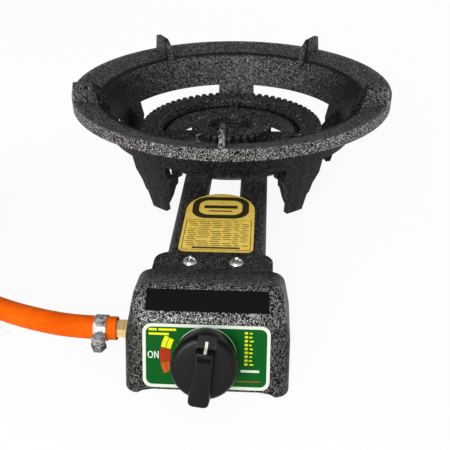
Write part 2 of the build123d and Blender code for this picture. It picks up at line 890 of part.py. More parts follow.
def make_bonnet():
    plate = extrude(Circle(bonnet_radius), amount=-bonnet_thickness)
    ears = [
        Pos(x, 0) * extrude(Circle(bonnet_ear_radius), amount=-bonnet_thickness)
        for x in (-bonnet_ear_offset, bonnet_ear_offset)
    ]
    bar = Pos(0, 0, -bonnet_thickness / 2) * Box(
        2 * bonnet_ear_offset, 2 * bonnet_ear_radius, bonnet_thickness)
    holes = [
        Pos(x, 0) * extrude(Circle(valve_screw_radius), amount=-bonnet_thickness)
        for x in (-bonnet_ear_offset, bonnet_ear_offset)
    ]
    centre = extrude(Circle(spindle_radius + seat_gap), amount=-bonnet_thickness)
    return panel_plane(bonnet_s) * (joined([plate, bar] + ears) - holes - centre)


def make_valve_screws():
    screws = []
    for x in (-bonnet_ear_offset, bonnet_ear_offset):
        shank = rod(on_panel(x=x), on_panel(x=x, s=body_s), valve_screw_radius)
        head = rod(on_panel(x=x, s=-valve_screw_head_height), on_panel(x=x), valve_screw_head)
        screws.append(head + shank)
    return Compound(children=screws)


def make_valve_body():
    barrel = rod(on_panel(s=body_s), on_panel(s=body_s + valve_body_length), valve_body_radius)
    inlet = rod((-inlet_boss_length, -inlet_reach, inlet_height),
                (inlet_boss_radius, -inlet_reach, inlet_height), inlet_boss_radius)
    arm = rod((-manifold_half_length, -manifold_reach, tube_height),
              (manifold_half_length, -manifold_reach, tube_height), manifold_radius)
    neck = rod((0, -inlet_reach, inlet_height), (0, -manifold_reach, tube_height), manifold_radius)
    bosses = [
        rod((x, -manifold_reach, tube_height), (x, -manifold_reach + jet_boss_length, tube_height), jet_boss_radius)
        for x in (-tube_x, tube_x)
    ]
    body = joined([barrel, inlet, arm, neck] + bosses)
    front = panel_plane(body_s) * extrude(
        Rectangle(2 * housing_half_width, 2 * housing_half_width), amount=housing_half_width)
    cavity = rod(on_panel(s=body_s), on_panel(s=plug_s + plug_length + sliding_gap), plug_radius + running_gap)
    bore = rod((-inlet_boss_length - overrun, -inlet_reach, inlet_height),
               (-inlet_boss_length + nipple_nut_length, -inlet_reach, inlet_height), nipple_radius)
    return body - front - cavity - bore


def make_plug():
    """The rotor that meters the gas; the spindle slides in it and turns it by its flat."""
    plug = rod(on_panel(s=plug_s), on_panel(s=plug_s + plug_length), plug_radius)
    well_depth = plug_length - sliding_gap
    hole = panel_plane(plug_s, knob_turn_at_rest) * extrude(spindle_section(running_gap), amount=-well_depth)
    port = rod(on_panel(x=-plug_radius - overrun, s=plug_s + plug_length / 2),
               on_panel(x=plug_radius - spindle_radius / 2, s=plug_s + plug_length / 2), spindle_radius / 2)
    return plug - hole - port


def spindle_section(gap):
    """Round with one flat, as a D."""
    radius = spindle_radius + gap
    flat = spindle_flat + gap
    round_part = Circle(radius)
    cut = Pos(0, flat + radius) * Rectangle(4 * radius, 2 * radius)
    return round_part - cut


def make_spindle():
    """A D shaft from inside the plug to inside the knob's hub."""
    return panel_plane(spindle_inner_s, knob_turn_at_rest) * extrude(spindle_section(0), amount=spindle_length)


def make_knob():
    """Hollow knob with a hub on the spindle and a tall grip bar across its face."""
    back = knob_standoff
    front = knob_standoff + knob_depth
    cup = turned([
        (0, back), (knob_back_radius, back), (knob_radius, front - knob_round),
        (knob_radius - knob_round, front), (0, front),
    ])
    hollow = turned([
        (0, back - overrun), (knob_back_radius - knob_wall, back - overrun),
        (knob_radius - knob_wall - knob_round, front - knob_wall), (0, front - knob_wall),
    ])
    hub = Pos(0, 0, back) * extrude(Circle(knob_hub_radius), amount=knob_depth - knob_wall / 2)
    top = knob_radius * grip_top_share
    bottom = -knob_radius * grip_bottom_share
    grip_outline = make_face(Polyline(
        (-grip_bottom_half_width, bottom), (grip_bottom_half_width, bottom),
        (grip_top_half_width, top), (-grip_top_half_width, top), close=True))
    grip = Pos(0, 0, front - knob_wall / 2) * extrude(grip_outline, amount=grip_height + knob_wall / 2)
    crown = grip.faces().sort_by(Axis.Z)[-1].edges()
    grip = fillet(crown, grip_round)
    notch_outline = make_face(Polyline(
        (0, top, front), (0, knob_radius + overrun, front - pointer_notch_drop),
        (0, knob_radius + overrun, front + overrun), (0, top, front + overrun), close=True))
    notch = extrude(notch_outline, amount=grip_top_half_width, dir=(1, 0, 0), both=True)
    body = cup - hollow - notch + hub + grip
    socket_top = spindle_length - spindle_inner_s + running_gap
    socket = Pos(0, 0, back - overrun) * extrude(spindle_section(running_gap), amount=socket_top - back + overrun)
    return panel_plane(turn=knob_turn_at_rest) * (body - socket)


def make_jet(x):
    """A brass jet: hexagon, shank that the shutter turns on, and nose with the orifice."""
    start = -manifold_reach + jet_boss_length
    hex_end = start + jet_hex_height
    shank_end = start + jet_shank_length
    nose_end = shank_end + jet_nose_length
    body = joined([
        hexagon_bar((x, start, tube_height), (x, hex_end, tube_height), jet_hex_width),
        rod((x, start, tube_height), (x, shank_end, tube_height), jet_shank_radius),
        rod((x, shank_end, tube_height), (x, nose_end, tube_height), jet_nose_radius),
    ])
    return body - rod((x, shank_end, tube_height), (x, nose_end + overrun, tube_height), jet_orifice_radius)


def make_shutter(x):
    """A thin disc with air holes that turns on the jet in front of the tube's mouth."""
    end = -tube_mouth_reach - sliding_gap
    start = end - shutter_thickness
    disc = rod((x, start, tube_height), (x, end, tube_height), shutter_radius)
    tab_middle = tube_height - shutter_radius - shutter_tab / 2 + shutter_thickness
    tab = Pos(x, (start + end) / 2, tab_middle) * Box(shutter_tab, shutter_thickness, shutter_tab)
    holes = [rod((x, start - overrun, tube_height), (x, end + overrun, tube_height),
                 jet_shank_radius + running_gap)]
    for i in range(shutter_holes):
        turn = (i + 1 / 2) * 2 * pi / shutter_holes
        hx = x + shutter_hole_circle * cos(turn)
        hz = tube_height + shutter_hole_circle * sin(turn)
        holes.append(rod((hx, start - overrun, hz), (hx, end + overrun, hz), shutter_hole_radius))
    return disc + tab - holes


# Spark igniter and its lead
def igniter_rear():
    """Where the lead leaves the igniter."""
    y = -igniter_front_reach + igniter_length + igniter_neck_length
    return (igniter_x + igniter_width / 2, y, igniter_bottom + igniter_height / 2)


def lead_route():
    """From the igniter back between the tubes, down under the gas rings and up into the ceramic."""
    x, y, z = igniter_rear()
    end = (electrode_x, electrode_y, ceramic_bottom)
    below = (electrode_x, electrode_y, ceramic_bottom - lead_drop)
    return [(x, y, z), (x, y + lead_straight, z)] + lead_middle + [below, end]


def make_igniter():
    """The moulded spark unit beside the valve."""
    middle = (igniter_x + igniter_width / 2, -igniter_front_reach + igniter_length / 2,
              igniter_bottom + igniter_height / 2)
    block = Pos(*middle) * Box(igniter_width, igniter_length, igniter_height)
    block = fillet(block.edges().filter_by(Axis.Y), igniter_round)
    x, y, z = igniter_rear()
    neck = rod((x, y - igniter_neck_length, z), (x, y, z), igniter_neck_radius)
    return block + neck


def route_radii(route):
    """The largest tangent arc that each corner's two runs allow."""
    radii = []
    for a, b, c in zip(route, route[1:], route[2:]):
        run_in = Vector(b) - Vector(a)
        run_out = Vector(c) - Vector(b)
        turn = radians(run_in.get_angle(run_out))
        shorter = min(run_in.length, run_out.length)
        radii.append(corner_share * shorter / tan(turn / 2))
    return radii


def route_line(route):
    """Straight runs joined by tangent arcs."""
    return FilletPolyline(*route, radius=route_radii(route))


def sweep_round(route, radius):
    """A round tube along a route."""
    line = route_line(route)
    start = Plane(origin=line @ 0, z_dir=line % 0)
    return sweep(start * Circle(radius), path=line)


# Inlet nipple and hose
hose_radius = hose_diameter / 2
hose_start_x = -housing_half_width - stub_length


def hose_tail(start, direction):
    """A barbed tail for the hose's bore, along a direction."""
    plane = Plane(origin=start, z_dir=direction)
    section = [(0, 0), (nipple_radius, 0)]
    for i in range(barb_count):
        low = hose_bore_length - (barb_count - i) * barb_pitch
        section.append((nipple_radius, low))
        section.append((nipple_radius + barb_height, low))
    section.append((nipple_radius, hose_bore_length))
    section.append((0, hose_bore_length))
    return plane * turned(section)


def make_nipple():
    """The brass inlet: screwed into the valve, through the box's side, barbed for the hose."""
    inner = -inlet_boss_length
    shank = hexagon_bar((inner - nipple_nut_length, -inlet_reach, inlet_height),
                        (hose_start_x, -inlet_reach, inlet_height), nipple_width)
    nut = hexagon_bar((inner - nipple_nut_length, -inlet_reach, inlet_height),
                      (inner, -inlet_reach, inlet_height), nipple_nut_width)
    plug_in = rod((inner, -inlet_reach, inlet_height), (inner + nipple_nut_length, -inlet_reach, inlet_height),
                  nipple_radius)
    tail = hose_tail((hose_start_x, -inlet_reach, inlet_height), (-1, 0, 0))
    bore = rod((inner + nipple_nut_length + overrun, -inlet_reach, inlet_height),
               (hose_start_x - hose_bore_length - overrun, -inlet_reach, inlet_height), nipple_bore)
    return joined([shank, nut, plug_in, tail]) - bore


# Hose clamps: the plane lies on the hose's axis, its X the way the ears point
clamp_ear_outside = clamp_ear_gap / 2 + clamp_ear_thickness
clamp_screw_place = hose_radius + clamp_ear_length * clamp_hole_share


def make_clamp_band(plane):
    """A steel band round the hose with two ears."""
    outer = hose_radius + bore_gap + clamp_band
    ring = extrude(Circle(outer) - Circle(hose_radius + bore_gap), amount=clamp_width)
    gap = Pos(outer, 0, clamp_width / 2) * Box(outer, clamp_ear_gap, clamp_width + overrun)
    ears = [
        Pos(hose_radius + bore_gap + clamp_ear_length / 2, side * (clamp_ear_gap + clamp_ear_thickness) / 2,
            clamp_width / 2) * Box(clamp_ear_length, clamp_ear_thickness, clamp_width)
        for side in (-1, 1)
    ]
    hole = rod((clamp_screw_place, -outer, clamp_width / 2), (clamp_screw_place, outer, clamp_width / 2),
               clamp_screw_radius + bore_gap)
    return plane * (ring - gap + ears - hole)


def make_clamp_screw(plane):
    """A slotted screw through the two ears."""
    head_end = clamp_ear_outside + clamp_screw_head_height
    shank = rod((clamp_screw_place, clamp_ear_outside - clamp_screw_length, clamp_width / 2),
                (clamp_screw_place, clamp_ear_outside, clamp_width / 2), clamp_screw_radius)
    head = rod((clamp_screw_place, clamp_ear_outside, clamp_width / 2),
               (clamp_screw_place, head_end, clamp_width / 2), clamp_screw_head)
    slot = Pos(clamp_screw_place, head_end, clamp_width / 2) * Box(
        slot_width, slot_depth, 2 * clamp_screw_head + overrun)
    return plane * (shank + head - slot)


def make_clamp_nut(plane):
    """The hexagon nut on the far side of the ears."""
    start = (clamp_screw_place, -clamp_ear_outside, clamp_width / 2)
    end = (clamp_screw_place, -clamp_ear_outside - clamp_nut_height, clamp_width / 2)
    return plane * (hexagon_bar(start, end, clamp_nut_width) - rod(start, end, clamp_screw_radius))


def inlet_clamp_plane():
    drop = radians(clamp_ear_drop)
    return Plane(origin=(hose_start_x - clamp_offset, -inlet_reach, inlet_height),
                 x_dir=(0, -cos(drop), -sin(drop)), z_dir=(-1, 0, 0))


# Hose: the run from the inlet to the coil, and the coil that holds the rest of its length
coil_height = hose_radius + tie_thickness
hose_route = [
    (hose_start_x + x, -inlet_reach + y, coil_height + (inlet_height - coil_height) * share)
    for x, y, share in hose_way
]
coil_centre_x = hose_route[-1][0] - coil_radius
coil_centre_y = hose_route[-1][1] + hose_diameter


def coil_point(turn):
    """In by one pitch in the first turn, up a layer in the next half, then out by one pitch."""
    inward = min(turn, 1)
    outward = max(0, turn - 3 / 2)
    rise = min(max(0, turn - 1), 1 / 2) * 2
    radius = coil_radius - coil_pitch * (inward - outward)
    angle = 2 * pi * turn
    return Vector(coil_centre_x + radius * cos(angle), coil_centre_y + radius * sin(angle),
                  coil_height + coil_layer * rise)


def coil_tangent(turn):
    """Direction of the coil at a turn; it starts and ends level and square."""
    before = max(0, turn - 1 / 4)
    after = min(coil_turns, turn + 1 / 4)
    round_way = Vector(-sin(2 * pi * turn), cos(2 * pi * turn), 0)
    outward = Vector(cos(2 * pi * turn), sin(2 * pi * turn), 0)
    if turn == 0 or turn == coil_turns:
        return round_way
    centre = Vector(coil_centre_x, coil_centre_y, 0)
    a = coil_point(before) - centre
    b = coil_point(after) - centre
    here = coil_point(turn) - centre
    step = pi
    out_rate = (sqrt(b.X ** 2 + b.Y ** 2) - sqrt(a.X ** 2 + a.Y ** 2)) / step
    up_rate = (b.Z - a.Z) / step
    radius = sqrt(here.X ** 2 + here.Y ** 2)
    return (round_way * radius + outward * out_rate + Vector(0, 0, up_rate)).normalized()


def biarc(start, start_way, end, end_way):
    """Two arcs that leave a point and reach another in given directions."""
    span = end - start
    both = start_way + end_way
    a = 2 * (1 - start_way.dot(end_way))
    b = 2 * span.dot(both)
    c = -span.dot(span)
    reach = (-b + sqrt(b * b - 4 * a * c)) / (2 * a)
    first = start + start_way * reach
    second = end - end_way * reach
    joint = (first + second) / 2
    return [TangentArc(start, joint, tangent=start_way), TangentArc(joint, end, tangent=second - first)]


def coil_line():
    """The coil's centreline: quarter turns between two straight ends."""
    start = coil_point(0)
    edges = [Line(start - Vector(0, hose_diameter, 0), start)]
    quarters = round(coil_turns * 4)
    for i in range(quarters):
        a = i / 4
        b = (i + 1) / 4
        edges = edges + biarc(coil_point(a), coil_tangent(a), coil_point(b), coil_tangent(b))
    end_way = coil_tangent(coil_turns)
    finish = coil_point(coil_turns)
    edges.append(Line(finish, finish + end_way * (hose_diameter + hose_bore_length)))
    return Wire(edges), end_way


def swept_share(tube, length):
    """Volume of a tube over its section times its length; near 1 where the sweep is sound."""
    return round(tube.volume / (pi * hose_radius ** 2 * length), 4)


def coil_self_gap(path):
    """Least gap between turns, on points along the centreline more than half a turn apart."""
    count = 260
    points = [path @ (i / count) for i in range(count + 1)]
    apart = round(count / coil_turns / 2)
    least = coil_radius
    for i in range(count + 1):
        for j in range(i + apart, count + 1):
            least = min(least, (points[i] - points[j]).length - hose_diameter)
    return least


def make_tail(end, way):
    """The far end's brass hose tail, with a shoulder that holds the coupling nut."""
    back = end - way * (hose_bore_length + overrun)
    front = end + way * (tail_stub + tail_length)
    shoulder_start = end + way * (tail_stub + coupling_collar_length + seat_gap)
    shoulder_end = shoulder_start + way * coupling_collar_length
    stub = rod(end, front, nipple_radius)
    shoulder = rod(shoulder_start, shoulder_end, coupling_bore - seat_gap)
    bore = rod(back, (front + way * overrun), nipple_bore)
    return hose_tail(end, (way * -1)) + stub + shoulder - bore


def make_coupling(end, way):
    """The hexagon coupling nut for the gas cylinder's regulator."""
    start = end + way * tail_stub
    finish = start + way * coupling_length
    collar_start = start - way * coupling_collar_length
    nut = hexagon_bar(start, finish, coupling_width)
    collar = rod(collar_start, start, coupling_collar_radius)
    neck = rod((collar_start - way * overrun), (finish + way * overrun),
               nipple_radius + bore_gap)
    thread = rod((start + way * coupling_collar_length), (finish + way * overrun),
                 coupling_bore)
    return nut + collar - neck - thread


def make_tie(angle):
    """A flat strap round the coil's bundle."""
    inner_edge = coil_radius - coil_pitch - hose_radius - tie_clearance
    outer_edge = coil_radius + hose_radius + tie_clearance
    inside_height = coil_layer + hose_diameter + tie_clearance
    outline = Rectangle(outer_edge - inner_edge + 2 * tie_thickness, inside_height + 2 * tie_thickness)
    window = Pos(0, 0) * Rectangle(outer_edge - inner_edge, inside_height)
    loop = extrude(outline - window, amount=tie_width / 2, both=True)
    place = Pos((inner_edge + outer_edge) / 2, 0, inside_height / 2 + tie_thickness) * Rot(90, 0, 0)
    return Pos(coil_centre_x, coil_centre_y, 0) * Rot(0, 0, angle) * place * loop


# The grip's lower end is the foremost point and the rim the rearmost one
grip_front = knob_standoff + knob_depth + grip_height
foremost = -on_panel(u=-knob_radius * grip_bottom_share, s=-grip_front)[1]
origin_shift_y = (foremost - rim_radius) / 2


def save(name, shape):
    """Moves a finished piece to the stove's own frame and writes it."""
    export_step(Pos(0, origin_shift_y, 0) * shape, "parts/" + name + ".step")


save("stand_ring", make_stand_ring())
save("burner_body", make_burner_body())
save("outer_cap", make_cap(outer_cap_radius, outer_cap_bore, outer_ring_radius, outer_cap_teeth, outer_bore_teeth))
save("inner_cap", make_cap(inner_cap_radius, inner_cap_bore, inner_ring_radius, inner_cap_teeth, inner_bore_teeth))
save("spark_ceramic", make_ceramic())
save("spark_wire", make_spark_wire())
save("electrode_clip", make_electrode_clip())
save("ignition_lead", sweep_round(lead_route(), lead_radius))
save("deck_label", make_label())
save("control_housing", make_housing())
save("panel_sheet", make_panel())
save("top_strip", make_strip())
save("housing_screws", make_housing_screws())
save("base_plate", make_base_plate())
save("base_screws", make_base_screws())
save("valve_bonnet", make_bonnet())
save("valve_body", make_valve_body())
save("valve_screws", make_valve_screws())
save("valve_plug", make_plug())
save("valve_spindle", make_spindle())
save("knob", make_knob())
save("igniter_unit", make_igniter())
save("jet_outer", make_jet(-tube_x))
save("jet_inner", make_jet(tube_x))
save("shutter_outer", make_shutter(-tube_x))
save("shutter_inner", make_shutter(tube_x))

nipple = make_nipple()
save("inlet_nipple", nipple)
save("clamp_band", make_clamp_band(inlet_clamp_plane()))
save("clamp_screw", make_clamp_screw(inlet_clamp_plane()))
save("clamp_nut", make_clamp_nut(inlet_clamp_plane()))

run_line = route_line(hose_route)
run_tube = sweep_round(hose_route, hose_radius)
coil_path, coil_way = coil_line()
coil_start_plane = Plane(origin=coil_path @ 0, z_dir=coil_path % 0)
coil_tube = sweep(coil_start_plane * Circle(hose_radius), path=coil_path)
hose_end = coil_path @ 1
tail = make_tail(hose_end, coil_way)
tail_bore = rod((hose_end - coil_way * hose_bore_length), hose_end, nipple_bore)
nipple_inside = rod((hose_start_x - hose_bore_length, -inlet_reach, inlet_height),
                    (hose_start_x, -inlet_reach, inlet_height), nipple_bore)
save("hose", run_tube - nipple - nipple_inside)
save("hose_coil", coil_tube - tail - tail_bore)
save("coil_ties", Compound(children=[make_tie(angle) for angle in tie_angles]))
save("hose_tail", tail)
save("coupling_nut", make_coupling(hose_end, coil_way))
clamp_drop = radians(clamp_ear_drop)
sideways = coil_way.cross(Vector(0, 0, 1))
end_clamp = Plane(origin=hose_end - coil_way * clamp_offset,
                  x_dir=sideways * cos(clamp_drop) + Vector(0, 0, sin(clamp_drop)), z_dir=coil_way * -1)
save("end_clamp_band", make_clamp_band(end_clamp))
save("end_clamp_screw", make_clamp_screw(end_clamp))
save("end_clamp_nut", make_clamp_nut(end_clamp))

print("shift along y", round(origin_shift_y, 3), "length", round(foremost + rim_radius, 2))
print("run radii", [round(r) for r in route_radii(hose_route)], "lead radii",
      [round(r) for r in route_radii(lead_route())])
print("hose run", round(run_line.length, 1), "of it solid", swept_share(run_tube, run_line.length))
print("coil run", round(coil_path.length, 1), "of it solid", swept_share(coil_tube, coil_path.length))
print("whole hose", round(run_line.length + coil_path.length, 1), "of", hose_length)
print("coil's gap to itself", round(coil_self_gap(coil_path), 2))
print("knob axis at", [round(v, 2) for v in on_panel()], "plug starts at", round(plug_s, 2))
print("hose end", [round(v, 2) for v in hose_end])
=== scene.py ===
import bpy
from math import cos, pi, radians, sin, tan
from mathutils import Matrix, Vector


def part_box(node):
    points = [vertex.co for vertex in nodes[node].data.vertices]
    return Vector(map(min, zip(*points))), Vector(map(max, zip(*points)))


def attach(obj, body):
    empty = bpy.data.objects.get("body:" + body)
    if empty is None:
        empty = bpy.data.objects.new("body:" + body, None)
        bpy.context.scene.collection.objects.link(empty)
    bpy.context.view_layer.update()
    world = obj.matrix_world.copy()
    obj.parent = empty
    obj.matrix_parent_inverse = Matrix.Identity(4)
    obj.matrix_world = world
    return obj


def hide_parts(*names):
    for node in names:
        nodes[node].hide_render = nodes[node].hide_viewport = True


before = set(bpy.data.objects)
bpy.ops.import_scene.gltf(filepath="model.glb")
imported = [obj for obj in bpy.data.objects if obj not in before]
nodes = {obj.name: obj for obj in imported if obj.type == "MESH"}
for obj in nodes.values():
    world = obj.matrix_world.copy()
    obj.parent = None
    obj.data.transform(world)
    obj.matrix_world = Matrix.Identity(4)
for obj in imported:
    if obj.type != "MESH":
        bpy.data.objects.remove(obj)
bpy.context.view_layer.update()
mm = 0.001

# Camera: the picture was taken from above the front of the control box, a little to the
# right of the middle line, with a moderately long lens and no shift. Its place was solved
# from the rim, the fins, the screws and the box.
ring_low, ring_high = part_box("stand_ring")
burner_y = (ring_low.y + ring_high.y) / 2
camera_right, camera_front, camera_height = 31.8 * mm, 622.5 * mm, 303.3 * mm
camera_yaw, camera_dip, camera_roll = 0.0625, 0.5352, -0.0078
camera_data = bpy.data.cameras.new("camera")
camera_data.lens = 53.98
camera_data.sensor_width = 36.0
camera = bpy.data.objects.new("camera", camera_data)
bpy.context.scene.collection.objects.link(camera)
camera_place = Matrix.Translation((camera_right, burner_y - camera_front, camera_height))
camera_turn = Matrix.Rotation(camera_yaw, 4, "Z") @ Matrix.Rotation(radians(90) - camera_dip, 4, "X")
camera.matrix_world = camera_place @ camera_turn @ Matrix.Rotation(camera_roll, 4, "Z")
bpy.context.scene.camera = camera
bpy.context.scene.view_settings.view_transform = "Standard"

# Studio: a plain white surround, which metal sees grow dark overhead and behind, a broad
# lamp in front on the left and a weaker one from the right rear. The floor shows the camera
# nearly its own white, with a faint shadow.
world = bpy.data.worlds.new("studio")
bpy.context.scene.world = world
world.use_nodes = True
surround = world.node_tree.nodes
surround.clear()
surround_out = surround.new("ShaderNodeOutputWorld")
surround_unseen = surround.new("ShaderNodeMixShader")
surround_mix = surround.new("ShaderNodeMixShader")
surround_light = surround.new("ShaderNodeBackground")
surround_light.inputs["Color"].default_value = (1, 1, 1, 1)
surround_light.inputs["Strength"].default_value = 0.6
surround_mirrored = surround.new("ShaderNodeBackground")
surround_mirrored.inputs["Strength"].default_value = 1.0
surround_seen = surround.new("ShaderNodeBackground")
surround_seen.inputs["Color"].default_value = (1, 1, 1, 1)
surround_seen.inputs["Strength"].default_value = 1.0
surround_path = surround.new("ShaderNodeLightPath")
surround_glossy = surround.new("ShaderNodeMath")
surround_glossy.operation = "MAXIMUM"
surround_place = surround.new("ShaderNodeTexCoord")
surround_way = surround.new("ShaderNodeVectorMath")
surround_way.operation = "DOT_PRODUCT"
surround_way.inputs[1].default_value = (0, 0.6, 0.8)
surround_shift = surround.new("ShaderNodeMapRange")
surround_shift.inputs["From Min"].default_value = -1.0
surround_shift.inputs["From Max"].default_value = 1.0
surround_fall = surround.new("ShaderNodeValToRGB")
surround_fall.color_ramp.elements[0].position = 0.45
surround_fall.color_ramp.elements[0].color = (1, 1, 1, 1)
surround_fall.color_ramp.elements[1].position = 0.9
surround_fall.color_ramp.elements[1].color = (0.08, 0.08, 0.08, 1)
surround_side = surround_fall.color_ramp.elements.new(0.65)
surround_side.color = (0.35, 0.35, 0.35, 1)
links = world.node_tree.links
links.new(surround_place.outputs["Generated"], surround_way.inputs[0])
links.new(surround_way.outputs["Value"], surround_shift.inputs["Value"])
links.new(surround_shift.outputs[0], surround_fall.inputs[0])
links.new(surround_fall.outputs[0], surround_mirrored.inputs["Color"])
links.new(surround_path.outputs["Is Glossy Ray"], surround_glossy.inputs[0])
links.new(surround_path.outputs["Is Transmission Ray"], surround_glossy.inputs[1])
links.new(surround_glossy.outputs[0], surround_unseen.inputs[0])
links.new(surround_light.outputs[0], surround_unseen.inputs[1])
links.new(surround_mirrored.outputs[0], surround_unseen.inputs[2])
links.new(surround_path.outputs["Is Camera Ray"], surround_mix.inputs[0])
links.new(surround_unseen.outputs[0], surround_mix.inputs[1])
links.new(surround_seen.outputs[0], surround_mix.inputs[2])
links.new(surround_mix.outputs[0], surround_out.inputs[0])


def add_lamp(name, place, target, size, power):
    """A square area lamp that faces a point."""
    lamp_data = bpy.data.lights.new(name, "AREA")
    lamp_data.size = size
    lamp_data.energy = power
    lamp = bpy.data.objects.new(name, lamp_data)
    bpy.context.scene.collection.objects.link(lamp)
    lamp.location = place
    lamp.rotation_euler = (Vector(target) - Vector(place)).to_track_quat("-Z", "Y").to_euler()
    return lamp


add_lamp("front_lamp", (-0.45, -1.5, 0.75), (0, 0, 0.05), 0.9, 20.0)
add_lamp("rear_lamp", (0.8, 1.1, 1.0), (0, 0.1, 0.05), 0.7, 3.0)

bpy.ops.object.select_all(action="DESELECT")
bpy.ops.mesh.primitive_plane_add(size=6.0, location=(0, 0, 0))
floor = bpy.context.object
floor.name = "studio_floor"
floor_look = bpy.data.materials.new("floor_white")
floor_look.use_nodes = True
floor_nodes = floor_look.node_tree.nodes
floor_nodes["Principled BSDF"].inputs["Base Color"].default_value = (0.93, 0.93, 0.93, 1)
floor_nodes["Principled BSDF"].inputs["Roughness"].default_value = 0.9
floor_glow = floor_nodes.new("ShaderNodeEmission")
floor_glow.inputs["Color"].default_value = (1, 1, 1, 1)
floor_sum = floor_nodes.new("ShaderNodeMixShader")
floor_path = floor_nodes.new("ShaderNodeLightPath")
floor_glossy = floor_nodes.new("ShaderNodeMath")
floor_glossy.operation = "MAXIMUM"
floor_seen = floor_nodes.new("ShaderNodeMath")
floor_seen.operation = "MAXIMUM"
floor_share = floor_nodes.new("ShaderNodeMath")
floor_share.operation = "MULTIPLY"
floor_share.inputs[1].default_value = 0.92
floor_links = floor_look.node_tree.links
floor_links.new(floor_path.outputs["Is Glossy Ray"], floor_glossy.inputs[0])
floor_links.new(floor_path.outputs["Is Transmission Ray"], floor_glossy.inputs[1])
floor_links.new(floor_path.outputs["Is Camera Ray"], floor_seen.inputs[0])
floor_links.new(floor_glossy.outputs[0], floor_seen.inputs[1])
floor_links.new(floor_seen.outputs[0], floor_share.inputs[0])
floor_links.new(floor_share.outputs[0], floor_sum.inputs[0])
floor_links.new(floor_nodes["Principled BSDF"].outputs[0], floor_sum.inputs[1])
floor_links.new(floor_glow.outputs[0], floor_sum.inputs[2])
floor_links.new(floor_sum.outputs[0], floor_nodes["Material Output"].inputs[0])
floor.data.materials.append(floor_look)


# Gas hose: 1.5 m of smooth orange rubber hose, 15 mm outside, pushed on the brass inlet.
# It sweeps back along the floor out of the picture, where its spare length lies in a
# flat coil of two and a half turns that is held by two straps.
def finish_material(name, colour, roughness, metallic=0.0, specular=0.5):
    """A plain material with one Principled shader, which its own section may refine."""
    look = bpy.data.materials.new(name)
    look.use_nodes = True
    shader = look.node_tree.nodes["Principled BSDF"]
    shader.inputs["Base Color"].default_value = (*colour, 1)
    shader.inputs["Roughness"].default_value = roughness
    shader.inputs["Metallic"].default_value = metallic
    shader.inputs["Specular IOR Level"].default_value = specular
    return look


def add_mottle(look, scale, colours, roughnesses, height):
    """Noise on Object coordinates that varies a material's colour, roughness and surface."""
    tree = look.node_tree
    shader = tree.nodes["Principled BSDF"]
    place = tree.nodes.new("ShaderNodeTexCoord")
    noise = tree.nodes.new("ShaderNodeTexNoise")
    noise.inputs["Scale"].default_value = scale
    noise.inputs["Detail"].default_value = 3.0
    ramp = tree.nodes.new("ShaderNodeValToRGB")
    ramp.color_ramp.elements[0].position = 0.35
    ramp.color_ramp.elements[0].color = (*colours[0], 1)
    ramp.color_ramp.elements[1].position = 0.65
    ramp.color_ramp.elements[1].color = (*colours[1], 1)
    spread = tree.nodes.new("ShaderNodeMapRange")
    spread.inputs["To Min"].default_value = roughnesses[0]
    spread.inputs["To Max"].default_value = roughnesses[1]
    bump = tree.nodes.new("ShaderNodeBump")
    bump.inputs["Strength"].default_value = 0.4
    bump.inputs["Distance"].default_value = height
    tree.links.new(place.outputs["Object"], noise.inputs["Vector"])
    tree.links.new(noise.outputs["Fac"], ramp.inputs[0])
    tree.links.new(noise.outputs["Fac"], spread.inputs["Value"])
    tree.links.new(noise.outputs["Fac"], bump.inputs["Height"])
    tree.links.new(ramp.outputs[0], shader.inputs["Base Color"])
    tree.links.new(spread.outputs[0], shader.inputs["Roughness"])
    tree.links.new(bump.outputs[0], shader.inputs["Normal"])


hose_diameter = 15 * mm
hose_exit = Vector((-58 * mm, burner_y - 291 * mm, 28 * mm))
hose_points = [
    (-58, -291, 28), (-84, -291, 28), (-111, -284, 26.8), (-137.5, -272.5, 24.4),
    (-163, -256.5, 20.6), (-184, -234, 15.6), (-198.5, -206.5, 11), (-206, -176.5, 8.7),
    (-206, -151.5, 8.7),
]
hose_route = [Vector((x * mm, burner_y + y * mm, z * mm)) for x, y, z in hose_points]
coil_side = -206 * mm
coil_floor = 8.7 * mm
coil_radius = 88 * mm
coil_pitch = 18 * mm
coil_layer = 15.7 * mm
coil_turns = 2.5
coil_steps = 14

# The points lie a little outside the turns, because the curve cuts the corners between them.
coil_bulge = 1 + (1 - cos(pi / coil_steps)) / 2
coil_middle = Vector((coil_side - coil_radius, burner_y - 136.5 * mm, coil_floor))
for step in range(round(coil_turns * coil_steps) + 1):
    turn = step / coil_steps
    inward = min(turn, 1) - max(0, turn - 1.5)
    rise = min(max(0, turn - 1), 0.5) * 2
    reach = (coil_radius - coil_pitch * inward) * coil_bulge
    hose_route.append(coil_middle + Vector((
        reach * cos(2 * pi * turn), reach * sin(2 * pi * turn), coil_layer * rise)))
hose_route.append(Vector((coil_side - 2 * coil_radius, burner_y - 175.5 * mm, coil_floor + coil_layer)))
hose_curve = bpy.data.curves.new("gas_hose", "CURVE")
hose_curve.dimensions = "3D"
hose_spline = hose_curve.splines.new("NURBS")
hose_spline.points.add(len(hose_route) - 1)
for point, place in zip(hose_spline.points, hose_route):
    point.co = (*place, 1)
hose_spline.order_u = 3
hose_spline.use_endpoint_u = True
hose_spline.resolution_u = 10
hose_curve.bevel_depth = hose_diameter / 2
hose_curve.bevel_resolution = 10
hose_curve.use_fill_caps = True
gas_hose = bpy.data.objects.new("gas_hose", hose_curve)
bpy.context.scene.collection.objects.link(gas_hose)
hose_rubber = finish_material("hose_rubber", (0.84, 0.115, 0.004), 0.5, specular=0.03)
add_mottle(hose_rubber, 55, ((0.66, 0.078, 0.0008), (0.8, 0.115, 0.0015)), (0.42, 0.56), 0.1 * mm)
gas_hose.data.materials.append(hose_rubber)
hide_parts("hose", "hose_coil")
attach(gas_hose, "stove")


